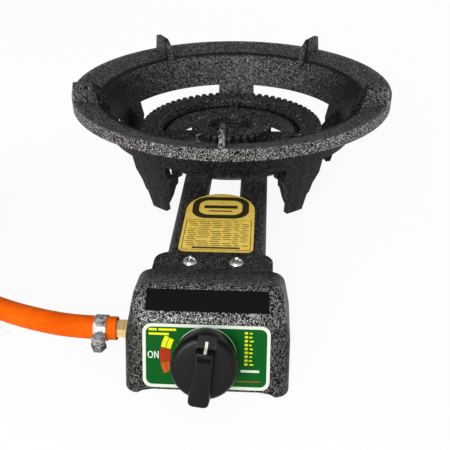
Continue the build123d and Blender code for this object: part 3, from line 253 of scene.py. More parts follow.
# Hammered enamel on the castings: black paint that draws back from silver spots as it
# dries, so the surface is finely dimpled. The ring, the burner and the box all wear it.
def make_hammered_group():
    """Outputs the mottled colour, its roughness, its metal share and the height of the dimples."""
    group = bpy.data.node_groups.new("hammered_enamel", "ShaderNodeTree")
    group.interface.new_socket("Scale", in_out="INPUT", socket_type="NodeSocketFloat")
    group.interface.new_socket("Light", in_out="INPUT", socket_type="NodeSocketFloat")
    group.interface.new_socket("Color", in_out="OUTPUT", socket_type="NodeSocketColor")
    group.interface.new_socket("Roughness", in_out="OUTPUT", socket_type="NodeSocketFloat")
    group.interface.new_socket("Metallic", in_out="OUTPUT", socket_type="NodeSocketFloat")
    group.interface.new_socket("Height", in_out="OUTPUT", socket_type="NodeSocketFloat")
    inside = group.nodes
    take = inside.new("NodeGroupInput")
    give = inside.new("NodeGroupOutput")
    place = inside.new("ShaderNodeTexCoord")
    strands = inside.new("ShaderNodeTexNoise")
    strands.inputs["Detail"].default_value = 1.0
    strands.inputs["Distortion"].default_value = 0.6
    centred = inside.new("ShaderNodeMath")
    centred.operation = "SUBTRACT"
    centred.inputs[1].default_value = 0.5
    folded = inside.new("ShaderNodeMath")
    folded.operation = "ABSOLUTE"
    spots = inside.new("ShaderNodeValToRGB")
    spots.color_ramp.elements[0].position = 0.0
    spots.color_ramp.elements[0].color = (1.0, 1.0, 0.975, 1)
    spots.color_ramp.elements[1].position = 0.06
    spots.color_ramp.elements[1].color = (0.006, 0.006, 0.0065, 1)
    middle = spots.color_ramp.elements.new(0.026)
    middle.color = (0.26, 0.258, 0.25, 1)
    dim = inside.new("ShaderNodeMixRGB")
    dim.blend_type = "MULTIPLY"
    dim.inputs[0].default_value = 1.0
    rough = inside.new("ShaderNodeMapRange")
    rough.inputs["From Min"].default_value = 0.0
    rough.inputs["From Max"].default_value = 0.12
    rough.inputs["To Min"].default_value = 0.45
    rough.inputs["To Max"].default_value = 0.3
    metal = inside.new("ShaderNodeMapRange")
    metal.inputs["From Min"].default_value = 0.0
    metal.inputs["From Max"].default_value = 0.08
    metal.inputs["To Min"].default_value = 0.6
    metal.inputs["To Max"].default_value = 0.0
    wire = group.links.new
    wire(place.outputs["Object"], strands.inputs["Vector"])
    wire(take.outputs["Scale"], strands.inputs["Scale"])
    wire(strands.outputs["Fac"], centred.inputs[0])
    wire(centred.outputs[0], folded.inputs[0])
    wire(folded.outputs[0], spots.inputs[0])
    wire(folded.outputs[0], rough.inputs["Value"])
    wire(folded.outputs[0], metal.inputs["Value"])
    wire(spots.outputs[0], dim.inputs[1])
    wire(take.outputs["Light"], dim.inputs[2])
    wire(dim.outputs[0], give.inputs["Color"])
    wire(rough.outputs[0], give.inputs["Roughness"])
    wire(metal.outputs[0], give.inputs["Metallic"])
    wire(folded.outputs[0], give.inputs["Height"])
    return group


hammered_group = make_hammered_group()


def hammered(name, scale, light=1.0, dull=0.0):
    """A hammered enamel finish of its own for one casting, with its silver's strength."""
    look = bpy.data.materials.new(name)
    look.use_nodes = True
    tree = look.node_tree
    shader = tree.nodes["Principled BSDF"]
    shader.inputs["Specular IOR Level"].default_value = 0.11
    enamel = tree.nodes.new("ShaderNodeGroup")
    enamel.name = "enamel"
    enamel.node_tree = hammered_group
    enamel.inputs["Scale"].default_value = scale
    enamel.inputs["Light"].default_value = light
    bump = tree.nodes.new("ShaderNodeBump")
    bump.inputs["Strength"].default_value = 0.5
    bump.inputs["Distance"].default_value = 0.3 * mm
    duller = tree.nodes.new("ShaderNodeMath")
    duller.operation = "ADD"
    duller.inputs[1].default_value = dull
    tree.links.new(enamel.outputs["Color"], shader.inputs["Base Color"])
    tree.links.new(enamel.outputs["Roughness"], duller.inputs[0])
    tree.links.new(duller.outputs[0], shader.inputs["Roughness"])
    tree.links.new(enamel.outputs["Metallic"], shader.inputs["Metallic"])
    tree.links.new(enamel.outputs["Height"], bump.inputs["Height"])
    tree.links.new(bump.outputs[0], shader.inputs["Normal"])
    return look


def along(look, way):
    """The dot product of each place on a casting with a direction, in metres."""
    tree = look.node_tree
    place = tree.nodes.new("ShaderNodeTexCoord")
    measure = tree.nodes.new("ShaderNodeVectorMath")
    measure.operation = "DOT_PRODUCT"
    measure.inputs[1].default_value = way
    tree.links.new(place.outputs["Object"], measure.inputs[0])
    return measure.outputs["Value"]


def from_axis(look, cone=0.0):
    """The distance of each place from the burner's axis, less a cone's share of the height."""
    tree = look.node_tree
    place = tree.nodes.new("ShaderNodeTexCoord")
    shift = tree.nodes.new("ShaderNodeVectorMath")
    shift.operation = "SUBTRACT"
    shift.inputs[1].default_value = (0, burner_y, 0)
    flat = tree.nodes.new("ShaderNodeVectorMath")
    flat.operation = "MULTIPLY"
    flat.inputs[1].default_value = (1, 1, 0)
    length = tree.nodes.new("ShaderNodeVectorMath")
    length.operation = "LENGTH"
    total = tree.nodes.new("ShaderNodeMath")
    total.operation = "ADD"
    tree.links.new(place.outputs["Object"], shift.inputs[0])
    tree.links.new(shift.outputs[0], flat.inputs[0])
    tree.links.new(flat.outputs[0], length.inputs[0])
    tree.links.new(length.outputs["Value"], total.inputs[0])
    tree.links.new(along(look, (0, 0, -cone)), total.inputs[1])
    return total.outputs[0]


def grown(look, measured, start, end, low, high):
    """A share that grows from low to high between two values of a measure. Low may be a
    number or another share."""
    tree = look.node_tree
    grow = tree.nodes.new("ShaderNodeMapRange")
    grow.inputs["From Min"].default_value = start
    grow.inputs["From Max"].default_value = end
    grow.inputs["To Max"].default_value = high
    if isinstance(low, float):
        grow.inputs["To Min"].default_value = low
    else:
        tree.links.new(low, grow.inputs["To Min"])
    tree.links.new(measured, grow.inputs["Value"])
    return grow.outputs[0]


def light_by(look, *shares):
    """Makes the strength of an enamel's silver the product of several shares."""
    tree = look.node_tree
    strength = shares[0]
    for share in shares[1:]:
        both = tree.nodes.new("ShaderNodeMath")
        both.operation = "MULTIPLY"
        tree.links.new(strength, both.inputs[0])
        tree.links.new(share, both.inputs[1])
        strength = both.outputs[0]
    tree.links.new(strength, tree.nodes["enamel"].inputs["Light"])


def outline(name, points):
    """A flat many-sided face whose corners are moved to the points of an outline."""
    bpy.ops.object.select_all(action="DESELECT")
    bpy.ops.mesh.primitive_circle_add(vertices=len(points), fill_type="NGON")
    piece = bpy.context.object
    piece.name = name
    for vertex, place in zip(piece.data.vertices, points):
        vertex.co = place
    return piece


def rectangle(left, right, low, high):
    """The corners of a rectangle, anticlockwise."""
    return [(left, low), (right, low), (right, high), (left, high)]


def plan(name, points, height, axis_y=burner_y):
    """An outline that lies flat at a height, from x and from y as counted from an axis."""
    return outline(name, [Vector((x * mm, axis_y + y * mm, height * mm)) for x, y in points])


def cross(name, points, y, axis_y=burner_y):
    """An outline that stands across the stove at a distance from an axis, from x and z."""
    return outline(name, [Vector((x * mm, axis_y + y * mm, z * mm)) for x, z in points])


def profile(name, points, x, axis_y=burner_y):
    """An outline that stands lengthwise, from y as counted from an axis and from z."""
    return outline(name, [Vector((x * mm, axis_y + y * mm, z * mm)) for y, z in points])


def only(piece):
    """Leaves one piece selected and active."""
    bpy.ops.object.select_all(action="DESELECT")
    piece.select_set(True)
    bpy.context.view_layer.objects.active = piece


def extruded(piece, way):
    """Pulls a flat outline out into a solid."""
    only(piece)
    bpy.ops.object.mode_set(mode="EDIT")
    bpy.ops.mesh.select_all(action="SELECT")
    bpy.ops.mesh.extrude_region_move(TRANSFORM_OT_translate={"value": way})
    bpy.ops.mesh.select_all(action="SELECT")
    bpy.ops.mesh.normals_make_consistent(inside=False)
    bpy.ops.object.mode_set(mode="OBJECT")
    return piece


def spun(piece, steps, centre, axis=(0, 0, 1)):
    """Spins the rim of a flat outline once round an axis into a closed ring."""
    only(piece)
    bpy.ops.object.mode_set(mode="EDIT")
    bpy.ops.mesh.select_all(action="SELECT")
    bpy.ops.mesh.delete(type="ONLY_FACE")
    bpy.ops.mesh.select_all(action="SELECT")
    bpy.ops.mesh.spin(steps=steps, angle=2 * pi, center=centre, axis=axis)
    bpy.ops.mesh.select_all(action="SELECT")
    bpy.ops.mesh.remove_doubles(threshold=0.01 * mm)
    bpy.ops.mesh.normals_make_consistent(inside=False)
    bpy.ops.object.mode_set(mode="OBJECT")
    return piece


def combined(piece, tool, operation):
    """Adds, cuts away or keeps what a second solid covers, and uses that solid up."""
    only(piece)
    change = piece.modifiers.new("combine", "BOOLEAN")
    change.operation = operation
    change.solver = "EXACT"
    change.object = tool
    bpy.ops.object.modifier_apply(modifier=change.name)
    bpy.data.objects.remove(tool)
    return piece


def joined(pieces):
    """Joins several pieces into the first one's mesh."""
    only(pieces[0])
    for piece in pieces[1:]:
        piece.select_set(True)
    bpy.ops.object.join()
    return pieces[0]


def turned_copies(piece, count, first, step):
    """Copies of a piece about the burner's axis, joined into one mesh."""
    copies = []
    for i in range(count):
        copy = piece.copy()
        copy.data = piece.data.copy()
        bpy.context.scene.collection.objects.link(copy)
        about = Matrix.Translation((0, burner_y, 0)) @ Matrix.Rotation(first + i * step, 4, "Z")
        copy.data.transform(about @ Matrix.Translation((0, -burner_y, 0)))
        copies.append(copy)
    bpy.data.objects.remove(piece)
    return joined(copies)


def rounded(piece, width, segments=2, angle=radians(28)):
    """Breaks the sharp edges of a piece and smooths its faces up to that angle."""
    only(piece)
    bpy.ops.object.mode_set(mode="EDIT")
    bpy.ops.mesh.select_all(action="SELECT")
    bpy.ops.mesh.remove_doubles(threshold=0.02 * mm)
    bpy.ops.object.mode_set(mode="OBJECT")
    edge = piece.modifiers.new("edge", "BEVEL")
    edge.width = width
    edge.segments = segments
    edge.limit_method = "ANGLE"
    edge.angle_limit = angle
    edge.use_clamp_overlap = True
    bpy.ops.object.modifier_apply(modifier=edge.name)
    bpy.ops.object.shade_smooth_by_angle(angle=angle)
    return piece


# Stand ring: one iron casting with a sloped rim, a conical wall, five legs and five fins.
# The pot stands on the fins; ribs inside the legs carry the burner. It is sand cast in
# one piece and enamelled, so every edge is softly rounded.
ring_radius, ring_top, band_bottom = 150.0, 90.0, 79.6
band_wall, rim_wall = 4.5, 5.5
lip_radius, lip_height = 119.0, 81.2
wall_foot, wall_foot_outside, wall_head_outside = 100.0, 105.0, 123.9
wall_cone = 0.2346
rim_slope = (ring_top - lip_height) / (ring_radius - lip_radius)
band_inside = ring_radius - band_wall
ring_outline = [
    (114.9, 64.0), (117.7, 76.0), (118.6, 79.2), (120.2, 81.5), (122.6, 82.9), (125.6, 83.8),
    (ring_radius, ring_top), (ring_radius, band_bottom), (band_inside, band_bottom),
    (band_inside, ring_top - band_wall * rim_slope - rim_wall),
    (wall_head_outside, ring_top - (ring_radius - wall_head_outside) * rim_slope - rim_wall),
    (wall_foot_outside, 0.0), (wall_foot, 0.0),
]
stand = spun(cross("stand_casting", ring_outline, 0), 180, (0, burner_y, 0))

# Five legs are what stays where the gaps between them are cut out of the wall.
leg_count, gap_inside, gap_outside, gap_top = 5, 60, 170, 51.5
leg_side = [(8.4, -1), (10.2, 16.6), (12.6, 19), (14, 28), (19.5, 38), (19.5, 60)]
leg_outline = leg_side + [(-t, z) for t, z in reversed(leg_side)]
leg_bar = extruded(profile("leg_bar", leg_outline, gap_inside), (100 * mm, 0, 0))
leg_bars = turned_copies(leg_bar, leg_count, radians(90), radians(360 / leg_count))
gaps = spun(cross("gaps", rectangle(gap_inside, gap_outside, -2, gap_top), 0), 90, (0, burner_y, 0))
gaps = combined(gaps, leg_bars, "DIFFERENCE")
stand = combined(stand, gaps, "DIFFERENCE")

# A fin stands over each gap and a rib inside each leg.
fin_width, rib_width = 4.5, 5.0
fin_outline = [
    (147.8, 86), (ring_radius, ring_top), (147.6, 104.4), (146.8, 105), (130.5, 104), (128.5, 103.2),
    (121.8, 97.6), (121, 96.2), (116.5, 78), (119.4, 70), (121.5, 78),
]
fin = extruded(cross("fin", fin_outline, -fin_width / 2), (0, fin_width * mm, 0))
fins = turned_copies(fin, leg_count, radians(270), radians(360 / leg_count))
rib_outline = [
    (102.5, 0), (114.5, 51), (110, 51), (84.5, 24), (81.4, 24), (81.4, 18), (84.5, 16), (88.5, 8),
    (96, 0),
]
rib = extruded(cross("rib", rib_outline, -rib_width / 2), (0, rib_width * mm, 0))
ribs = turned_copies(rib, leg_count, radians(90), radians(360 / leg_count))
stand = combined(stand, joined([fins, ribs]), "UNION")
stand = rounded(stand, 0.8 * mm, 3)

# Painted light and shade in its silver: it is painted strongest on the upright band, where the light falls
# most, less on the rim, and faint as painted shade on the conical wall, the legs and the lip under the rim;
# on the wall's inside it is painted stronger again towards the back, as a painted reflection.
ring_enamel = hammered("ring_enamel", 620.0, dull=0.2)
ring_distance = from_axis(ring_enamel)
wall_distance = from_axis(ring_enamel, wall_cone)
band_painted_light = grown(ring_enamel, ring_distance, 146 * mm, 148.5 * mm, 0.5, 0.85)
under_rim_painted_shade = grown(ring_enamel, wall_distance, 105.6 * mm, 108 * mm, 0.2, 1.0)
back_painted_reflection = grown(ring_enamel, along(ring_enamel, (0, 1, 0)),
                   burner_y + 30 * mm, burner_y + 100 * mm, 1.1, 5.0)
inner_wall_painted_light = grown(ring_enamel, wall_distance, 101.5 * mm, 103.5 * mm, back_painted_reflection, 1.0)
light_by(ring_enamel, band_painted_light, under_rim_painted_shade, inner_wall_painted_light)
stand.data.materials.append(ring_enamel)
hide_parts("stand_ring")
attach(stand, "stove")


# Burner casting: two gas rings joined by bridges, with two mixing tubes and the flat deck
# that the control box is screwed to. The CAD solid is its shape; it wears the enamel.
def dress(node, look):
    """Gives a CAD solid a finish in place of its own."""
    nodes[node].data.materials.clear()
    nodes[node].data.materials.append(look)


dress("burner_body", hammered("burner_enamel", 560.0, light=0.28, dull=0.2))


# Ring caps: two loose iron castings with teeth round both edges; the flames come out
# between the teeth. They wear a thin coat of the same enamel, with less silver in it.
def cap_casting(name, radius, bore, outer_teeth, bore_teeth):
    """A spun ring with rounded teeth set against both of its edges."""
    seat, low, top, depth, chamfer = 42.3, 44.6, 51.6, 5.0, 0.3
    root, tooth_share, bore_tooth, tooth_round = 1.0, 0.7, 5.5, 1.9
    middle = (radius + bore) / 2
    section = [
        (bore + chamfer, seat), (radius - chamfer, seat), (radius, seat + chamfer), (radius - 0.2, low),
        (radius - depth, low), (radius - depth - 0.4, top - 0.9), (radius - depth - 1.2, top - 0.5),
        (middle + 2.0, top - 1.6), (middle - 2.0, top - 1.6), (bore + depth + 1.2, top - 1.0),
        (bore + 1.2, top - 2.0), (bore + 0.3, top - 2.4), (bore, top - 3.0), (bore, seat + chamfer),
    ]
    ring = spun(cross(name, section, 0), 140, (0, burner_y, 0))
    teeth = []
    for rim, inward, count, foot in (
            (radius, -1, outer_teeth, low - 1), (bore, 1, bore_teeth, top - bore_tooth)):
        width = 2 * pi * rim / count * tooth_share
        start = rim + inward * (depth + root)
        bpy.ops.object.select_all(action="DESELECT")
        bpy.ops.mesh.primitive_cube_add(
            size=1.0, location=((rim + start) / 2 * mm, burner_y, (top + foot) / 2 * mm))
        tooth = bpy.context.object
        tooth.scale = ((depth + root) * mm, width * mm, (top - foot) * mm)
        only(tooth)
        bpy.ops.object.transform_apply(location=True, rotation=True, scale=True)
        tooth = rounded(tooth, tooth_round * mm, 3, radians(40))
        teeth.append(turned_copies(tooth, count, 0.0, 2 * pi / count))
    ring = joined([ring] + teeth)
    only(ring)
    bpy.ops.object.shade_smooth_by_angle(angle=radians(35))
    return ring


cap_enamel = hammered("cap_enamel", 560.0, light=0.28)
for node, body, sizes in (("outer_cap", "outer_cap_body", (88.3, 67.6, 70, 54)),
                          ("inner_cap", "inner_cap_body", (39.3, 20.6, 32, 16))):
    cap = cap_casting(node + "_casting", *sizes)
    cap.data.materials.append(cap_enamel)
    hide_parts(node)
    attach(cap, body)

# Control housing: a hollow iron box with a leaning front, a sloped brow that carries the
# strip, and a flat tongue behind that is screwed down on the burner's deck. It is cast in
# one piece and wears the same enamel as the ring.
box_half, box_top_half, box_shoulder = 51.3, 45.8, 30.0
box_rear, box_front, box_front_height = 252.0, 317.0, 4.0
box_ridge, box_ridge_height, box_head = 285.0, 59.5, 66.0
box_corner, box_wall, box_foot, hollow_foot = 9.0, 3.5, -14.0, -20.0
crown_round, crown_round_across, crown_foot = 6.5, 0.45, 12
front_lean = radians(20)
side_rear, side_rear_height, side_front, side_front_height = -230, 43.65, -340, 17.45


def quarter(x, y, radius, start, steps=6):
    """Points of a quarter circle about a centre, anticlockwise from an angle in degrees."""
    turns = [radians(start + 90 * step / steps) for step in range(steps + 1)]
    return [(x + radius * cos(turn), y + radius * sin(turn)) for turn in turns]


def box_section(height, inset):
    """The box's plan at a height, with round corners, as points in anticlockwise order."""
    share = max(0.0, (height - box_shoulder) / (box_ridge_height - box_shoulder))
    front = box_front - (height - box_front_height) * tan(front_lean) - inset
    corner = box_corner - inset
    x = box_half - (box_half - box_top_half) * share - inset - corner
    rear_y, front_y = -box_rear - inset - corner, -front + corner
    return (quarter(x, rear_y, corner, 0) + quarter(-x, rear_y, corner, 90)
            + quarter(-x, front_y, corner, 180) + quarter(x, front_y, corner, 270))


def box_form(name, inset, foot):
    """Three plans bridged into a solid and cut by the box's side outline."""
    plans = [plan(name, box_section(height, inset), height) for height in (foot, box_shoulder, box_head)]
    form = joined(plans)
    only(form)
    bpy.ops.object.mode_set(mode="EDIT")
    bpy.ops.mesh.select_all(action="SELECT")
    bpy.ops.mesh.delete(type="ONLY_FACE")
    bpy.ops.mesh.select_all(action="SELECT")
    bpy.ops.mesh.bridge_edge_loops()
    bpy.ops.mesh.select_all(action="DESELECT")
    bpy.ops.mesh.select_mode(type="EDGE")
    bpy.ops.mesh.select_non_manifold()
    bpy.ops.mesh.edge_face_add()
    bpy.ops.mesh.select_all(action="SELECT")
    bpy.ops.mesh.normals_make_consistent(inside=False)
    bpy.ops.object.mode_set(mode="OBJECT")
    side = [
        (side_rear, -20), (side_front, -20), (side_front, side_front_height - inset),
        (-box_ridge, box_ridge_height - inset * 1.2), (side_rear, side_rear_height - inset)]
    cutter = extruded(profile("side_cutter", side, -60), (120 * mm, 0, 0))
    return combined(form, cutter, "INTERSECT")


housing = box_form("housing_casting", 0.0, box_foot)

# The edges of its crown are rounded, those that run across the box less than the others.
only(housing)
bpy.ops.object.mode_set(mode="EDIT")
bpy.ops.mesh.select_mode(type="EDGE")
bpy.ops.mesh.select_all(action="DESELECT")
bpy.ops.mesh.edges_select_sharp(sharpness=radians(26))
bpy.ops.object.mode_set(mode="OBJECT")
softness = housing.data.attributes.new("bevel_weight_edge", "FLOAT", "EDGE")
for edge in housing.data.edges:
    start, end = [housing.data.vertices[i].co for i in edge.vertices]
    if edge.select and min(start.z, end.z) > crown_foot * mm:
        softness.data[edge.index].value = crown_round_across if start.x * end.x < 0 else 1.0
crown = housing.modifiers.new("crown", "BEVEL")
crown.width = crown_round * mm
crown.segments = 5
crown.limit_method = "WEIGHT"
bpy.ops.object.modifier_apply(modifier=crown.name)
tongue_half, tongue_rear, tongue_corner, tongue_root = 40.2, -234.0, 10.0, -256.5
deck_height, tongue_thickness = 46.3, 3.7
tongue_plan = (
    quarter(tongue_half - tongue_corner, tongue_rear - tongue_corner, tongue_corner, 0)
    + quarter(-tongue_half + tongue_corner, tongue_rear - tongue_corner, tongue_corner, 90)
    + [(-tongue_half, tongue_root), (tongue_half, tongue_root)])
tongue = extruded(plan("tongue", tongue_plan, deck_height), (0, 0, tongue_thickness * mm))
housing = combined(housing, tongue, "UNION")
housing = combined(housing, box_form("hollow", box_wall, hollow_foot), "DIFFERENCE")

# It is open below; its front edge is arched a little, and the mixing tubes enter behind.
cut_half, cut_depth, tube_half = 90, 40, 37
arch_side = [(cut_half, -cut_depth), (cut_half, 0), (43, 0), (39, 1.8), (33, 2.7)]
arch = arch_side + [(-x, z) for x, z in reversed(arch_side)]
arch_cut = extruded(cross("arch_cut", arch, -335), (0, 40 * mm, 0))
floor_cut = extruded(plan("floor_cut", rectangle(-cut_half, cut_half, -400, -200), -cut_depth),
                     (0, 0, cut_depth * mm))
tube_cut = extruded(cross("tube_cut", rectangle(-tube_half, tube_half, -5, deck_height), -257),
                    (0, 25 * mm, 0))
for tool in (floor_cut, arch_cut, tube_cut):
    housing = combined(housing, tool, "DIFFERENCE")
housing = rounded(housing, 0.8 * mm, 2, radians(35))

# Painted light and shade in its silver: it is painted weaker on the tongue than on the box, and weaker on the
# faces below the brow than above, as each lay in the light.
housing_enamel = hammered("housing_enamel", 640.0, dull=0.12)
forward = along(housing_enamel, (0, -1, 0))
upward = along(housing_enamel, (0, 0, 1))
light_by(housing_enamel,
         grown(housing_enamel, forward, 262 * mm - burner_y, box_ridge * mm - burner_y, 0.4, 1.0),
         grown(housing_enamel, upward, 39 * mm, 45 * mm, 0.29, 0.7))
housing.data.materials.append(housing_enamel)
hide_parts("control_housing")
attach(housing, "stove")

# Panel, strip and label: thin printed sheets that are glued on. The panel is green with a
# pale border, an arc of three colours, plain bars and the word ON; the strip is bare gloss
# black; the label is yellow, with a ring, plain bars and rows of dashes.
lean_sin, lean_cos = sin(front_lean), cos(front_lean)
knob_axis = Vector((0, burner_y - 309.866 * mm, 23.6 * mm))
panel_up = Vector((0, lean_sin, lean_cos))
panel_out = Vector((0, -lean_cos, lean_sin))


def on_panel(x, u, out):
    """A point by its place across, up and out of the panel, from the knob's axis."""
    return knob_axis + Vector((x * mm, 0, 0)) + panel_up * (u * mm) + panel_out * (out * mm)


def rounded_rectangle(half_width, half_height, corner, middle=0.0, steps=8):
    """Points of a rectangle with round corners, its middle at a height on the centre line."""
    x, high, low = half_width - corner, middle + half_height - corner, middle - half_height + corner
    return (quarter(x, high, corner, 0, steps) + quarter(-x, high, corner, 90, steps)
            + quarter(-x, low, corner, 180, steps) + quarter(x, low, corner, 270, steps))


def oval(x, y, half_width, half_height, steps):
    """Points of an oval about a centre, anticlockwise."""
    turns = [2 * pi * step / steps for step in range(steps)]
    return [(x + half_width * cos(turn), y + half_height * sin(turn)) for turn in turns]


sheet_seat, sheet_thickness, ink_thickness = 0.02, 0.38, 0.03
window_under, window_depth = 0.2, 0.5


def print_on_panel(name, look, points, window=()):
    """A flat printed shape in one ink, with or without a window in it."""
    level = sheet_seat + sheet_thickness
    shape = extruded(outline(name, [on_panel(x, u, level) for x, u in points]),
                     panel_out * ink_thickness * mm)
    if window:
        hole = extruded(outline(name + "_window", [on_panel(x, u, level - window_under) for x, u in window]),
                        panel_out * window_depth * mm)
        shape = combined(shape, hole, "DIFFERENCE")
    shape.data.materials.append(look)
    return shape


def arc_band(inner, outer, start, end, steps=18):
    """Points of a bent band between two radii, its angles anticlockwise from the top."""
    points = []
    for radius, order in ((outer, range(steps + 1)), (inner, range(steps, -1, -1))):
        for step in order:
            turn = radians(start + (end - start) * step / steps)
            points.append((-radius * sin(turn), radius * cos(turn)))
    return points


panel_green = finish_material("panel_green", (0.0005, 0.088, 0.0095), 0.3, specular=0.08)
print_white = finish_material("print_white", (0.66, 0.72, 0.62), 0.35, specular=0.08)
print_yellow = finish_material("print_yellow", (0.72, 0.74, 0.01), 0.35, specular=0.08)
print_red = finish_material("print_red", (0.4, 0.022, 0.003), 0.35, specular=0.08)
print_orange = finish_material("print_orange", (0.5, 0.085, 0.012), 0.35, specular=0.08)
sheet_middle = -0.158
panel = extruded(outline("panel", [
    on_panel(x, u, sheet_seat) for x, u in rounded_rectangle(39.2, 20.7, 5.5, sheet_middle)]),
    panel_out * sheet_thickness * mm)
panel.data.materials.append(panel_green)
border = print_on_panel("panel_border", print_white, rounded_rectangle(39.1, 20.6, 5.4, sheet_middle),
                        rounded_rectangle(37.1, 18.6, 4.0, sheet_middle))
circle = print_on_panel("panel_circle", print_white, oval(0, 0, 19.05, 19.05, 72), oval(0, 0, 18.6, 18.6, 72))
marks = []
for inner, outer in ((22.2, 25.0), (25.4, 28.3)):
    marks.append(print_on_panel("mark_low", print_yellow, arc_band(inner, outer, 62.5, 78.5)))
    marks.append(print_on_panel("mark_high", print_red, arc_band(inner, outer, 79.3, 99)))
    marks.append(print_on_panel("mark_foot", print_orange, arc_band(inner, outer, 99.8, 114)))
letter_o = print_on_panel("letter_o", print_white, oval(-34.3, 0.4, 1.75, 2.3, 32),
                          oval(-34.3, 0.4, 1.1, 1.65, 32))
letter_n = print_on_panel("letter_n", print_white, [
    (-32.0, -1.9), (-31.35, -1.9), (-31.35, 1.3), (-29.75, -1.9), (-29.1, -1.9), (-29.1, 2.7),
    (-29.75, 2.7), (-29.75, -0.5), (-31.35, 2.7), (-32.0, 2.7)])


def panel_bar(x, u, width, height, look):
    """A plain printed bar from its lower left corner."""
    return print_on_panel("panel_bar", look, rectangle(x, x + width, u, u + height))


bars = [panel_bar(-35.2, 16.0, 5.0, 1.4, print_yellow), panel_bar(-29.2, 16.0, 10.8, 1.4, print_yellow),
        panel_bar(-35.2, 13.2, 12.4, 1.4, print_yellow), panel_bar(21.2, -9.2, 11.4, 1.5, print_white),
        panel_bar(18.8, -15.4, 14.8, 0.4, print_orange)]
row_pitch = 2.5
for row in range(9):
    bars.append(panel_bar(23.5, 15.3 - row * row_pitch, 1.9, 1.4, print_yellow))
    bars.append(panel_bar(
        26.6 - row % 2 * 0.5, 15.4 - row * row_pitch, 1.5 + row % 3 * 0.4, 0.9, print_yellow))
panel = joined([panel, border, circle, letter_o, letter_n] + marks + bars)
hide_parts("panel_sheet")
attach(panel, "stove")

dress("top_strip", finish_material("strip_black", (0.004, 0.004, 0.004), 0.2, specular=0.2))

label_yellow = finish_material("label_yellow", (0.86, 0.6, 0.1), 0.4)
add_mottle(label_yellow, 260, ((0.8, 0.54, 0.08), (0.9, 0.65, 0.12)), (0.34, 0.46), 0.05 * mm)
label_ink = finish_material("label_ink", (0.03, 0.022, 0.008), 0.5)
label_level = 46.4
dress("deck_label", label_yellow)


def label_print(name, points, window=()):
    """A thin shape in the label's ink, with or without a window in it."""
    shape = extruded(plan(name, points, label_level), (0, 0, ink_thickness * mm))
    if window:
        hole = extruded(plan(name + "_window", window, label_level - window_under),
                        (0, 0, 2 * window_depth * mm))
        shape = combined(shape, hole, "DIFFERENCE")
    shape.data.materials.append(label_ink)
    return shape


frame_half, frame_front, frame_rear, frame_line = 24.6, -224.8, -183.0, 0.5
seal_middle = -163.5
label_marks = [
    label_print("label_frame", rectangle(-frame_half, frame_half, frame_front, frame_rear),
                rectangle(frame_line - frame_half, frame_half - frame_line,
                          frame_front + frame_line, frame_rear - frame_line)),
    label_print("label_seal", rounded_rectangle(22.0, 17.0, 12.0, seal_middle),
                rounded_rectangle(16.8, 11.4, 8.0, seal_middle)),
]
for half, low, height in ((13.0, -165.0, 4.6), (9.0, -170.0, 1.6), (17.0, -223.0, 2.2)):
    label_marks.append(label_print("label_bar", rectangle(-half, half, low, low + height)))
line_count, line_first, line_pitch, line_height = 13, -186.2, 2.75, 0.8
words = [(-22.0, -16.0), (-14.5, -6.0), (-4.5, 2.5), (4.0, 10.0), (11.5, 15.5), (17.0, 22.0)]
for row in range(line_count):
    low = line_first - row * line_pitch
    for i, (left, right) in enumerate(words):
        if (row * 5 + i * 3) % 11 == 4:
            continue
        shift = ((row * 7 + i * 5) % 5 - 2) * 0.5
        label_marks.append(label_print(
            "label_line", rectangle(left + shift, right + shift, low, low + line_height)))
label_printing = joined(label_marks)
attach(label_printing, "stove")

# Knob: moulded black plastic, a tapered cup with a tall grip bar across its face and a
# white pointer at the upper end of the bar. The cup is hollow behind, where a hub in its
# middle is pushed on the valve's spindle.
knob_tilt = Matrix.Rotation(radians(-7), 4, "Z")
panel_frame = Matrix((
    (1, 0, 0, knob_axis.x), (0, panel_up.y, panel_out.y, knob_axis.y),
    (0, panel_up.z, panel_out.z, knob_axis.z), (0, 0, 0, 1)))
cup_top, cup_roof, hub_bore, hub_radius, hub_foot = 20.0, 17.8, 3.3, 5.5, 4.2
grip_end, grip_half, grip_foot, grip_front, grip_draft = 12.9, 5.6, 18.6, 28.5, 0.9
knob_section = [
    (hub_bore, cup_roof), (hub_bore, hub_foot), (hub_radius, hub_foot), (hub_radius, cup_roof),
    (16.0, cup_roof), (17.2, 4.0), (19.0, 4.0), (19.4, 4.5), (20.2, 15.8), (20.05, 17.0),
    (19.5, 18.3), (18.6, 19.2), (17.4, 19.8), (16.0, cup_top), (10.0, cup_top), (5.0, cup_top),
    (0.0, cup_top), (0.0, cup_roof),
]
knob_cup = spun(cross("knob_cup", knob_section, 0, 0), 96, (0, 0, 0))
notch_profile = [
    (grip_end - 1, cup_top + 0.4), (grip_end, cup_top), (22.0, 16.2), (22.0, 22.0), (grip_end - 1, 22.0)]
notch = extruded(profile("knob_notch", notch_profile, -grip_half, 0), (2 * grip_half * mm, 0, 0))
knob_cup = combined(knob_cup, notch, "DIFFERENCE")
grip_side = [(3.6, -20.2), (5.6, -19.6), (6.6, -18.4), (6.8, -16.6), (6.1, -4), (grip_half, grip_end)]
grip_outline = grip_side + [(-x, u) for x, u in reversed(grip_side)]
grip = extruded(plan("knob_grip", grip_outline, grip_foot, 0), (0, 0, (grip_front - grip_foot) * mm))
for vertex in grip.data.vertices:
    if vertex.co.z > cup_top * mm:
        vertex.co.x *= grip_draft
dent_half, dent_depth = 3.9, 1.6
dent_profile = [
    (11.3, grip_front + 1), (11.3, grip_front - dent_depth), (9.4, grip_front - dent_depth),
    (7.2, grip_front), (7.2, grip_front + 1)]
dent = extruded(profile("grip_dent", dent_profile, -dent_half, 0), (2 * dent_half * mm, 0, 0))
grip = rounded(grip, 0.9 * mm, 3, radians(50))
grip = combined(grip, dent, "DIFFERENCE")
knob = combined(knob_cup, grip, "UNION")
only(knob)
bpy.ops.object.shade_smooth_by_angle(angle=radians(32))
pointer_width = 1.7
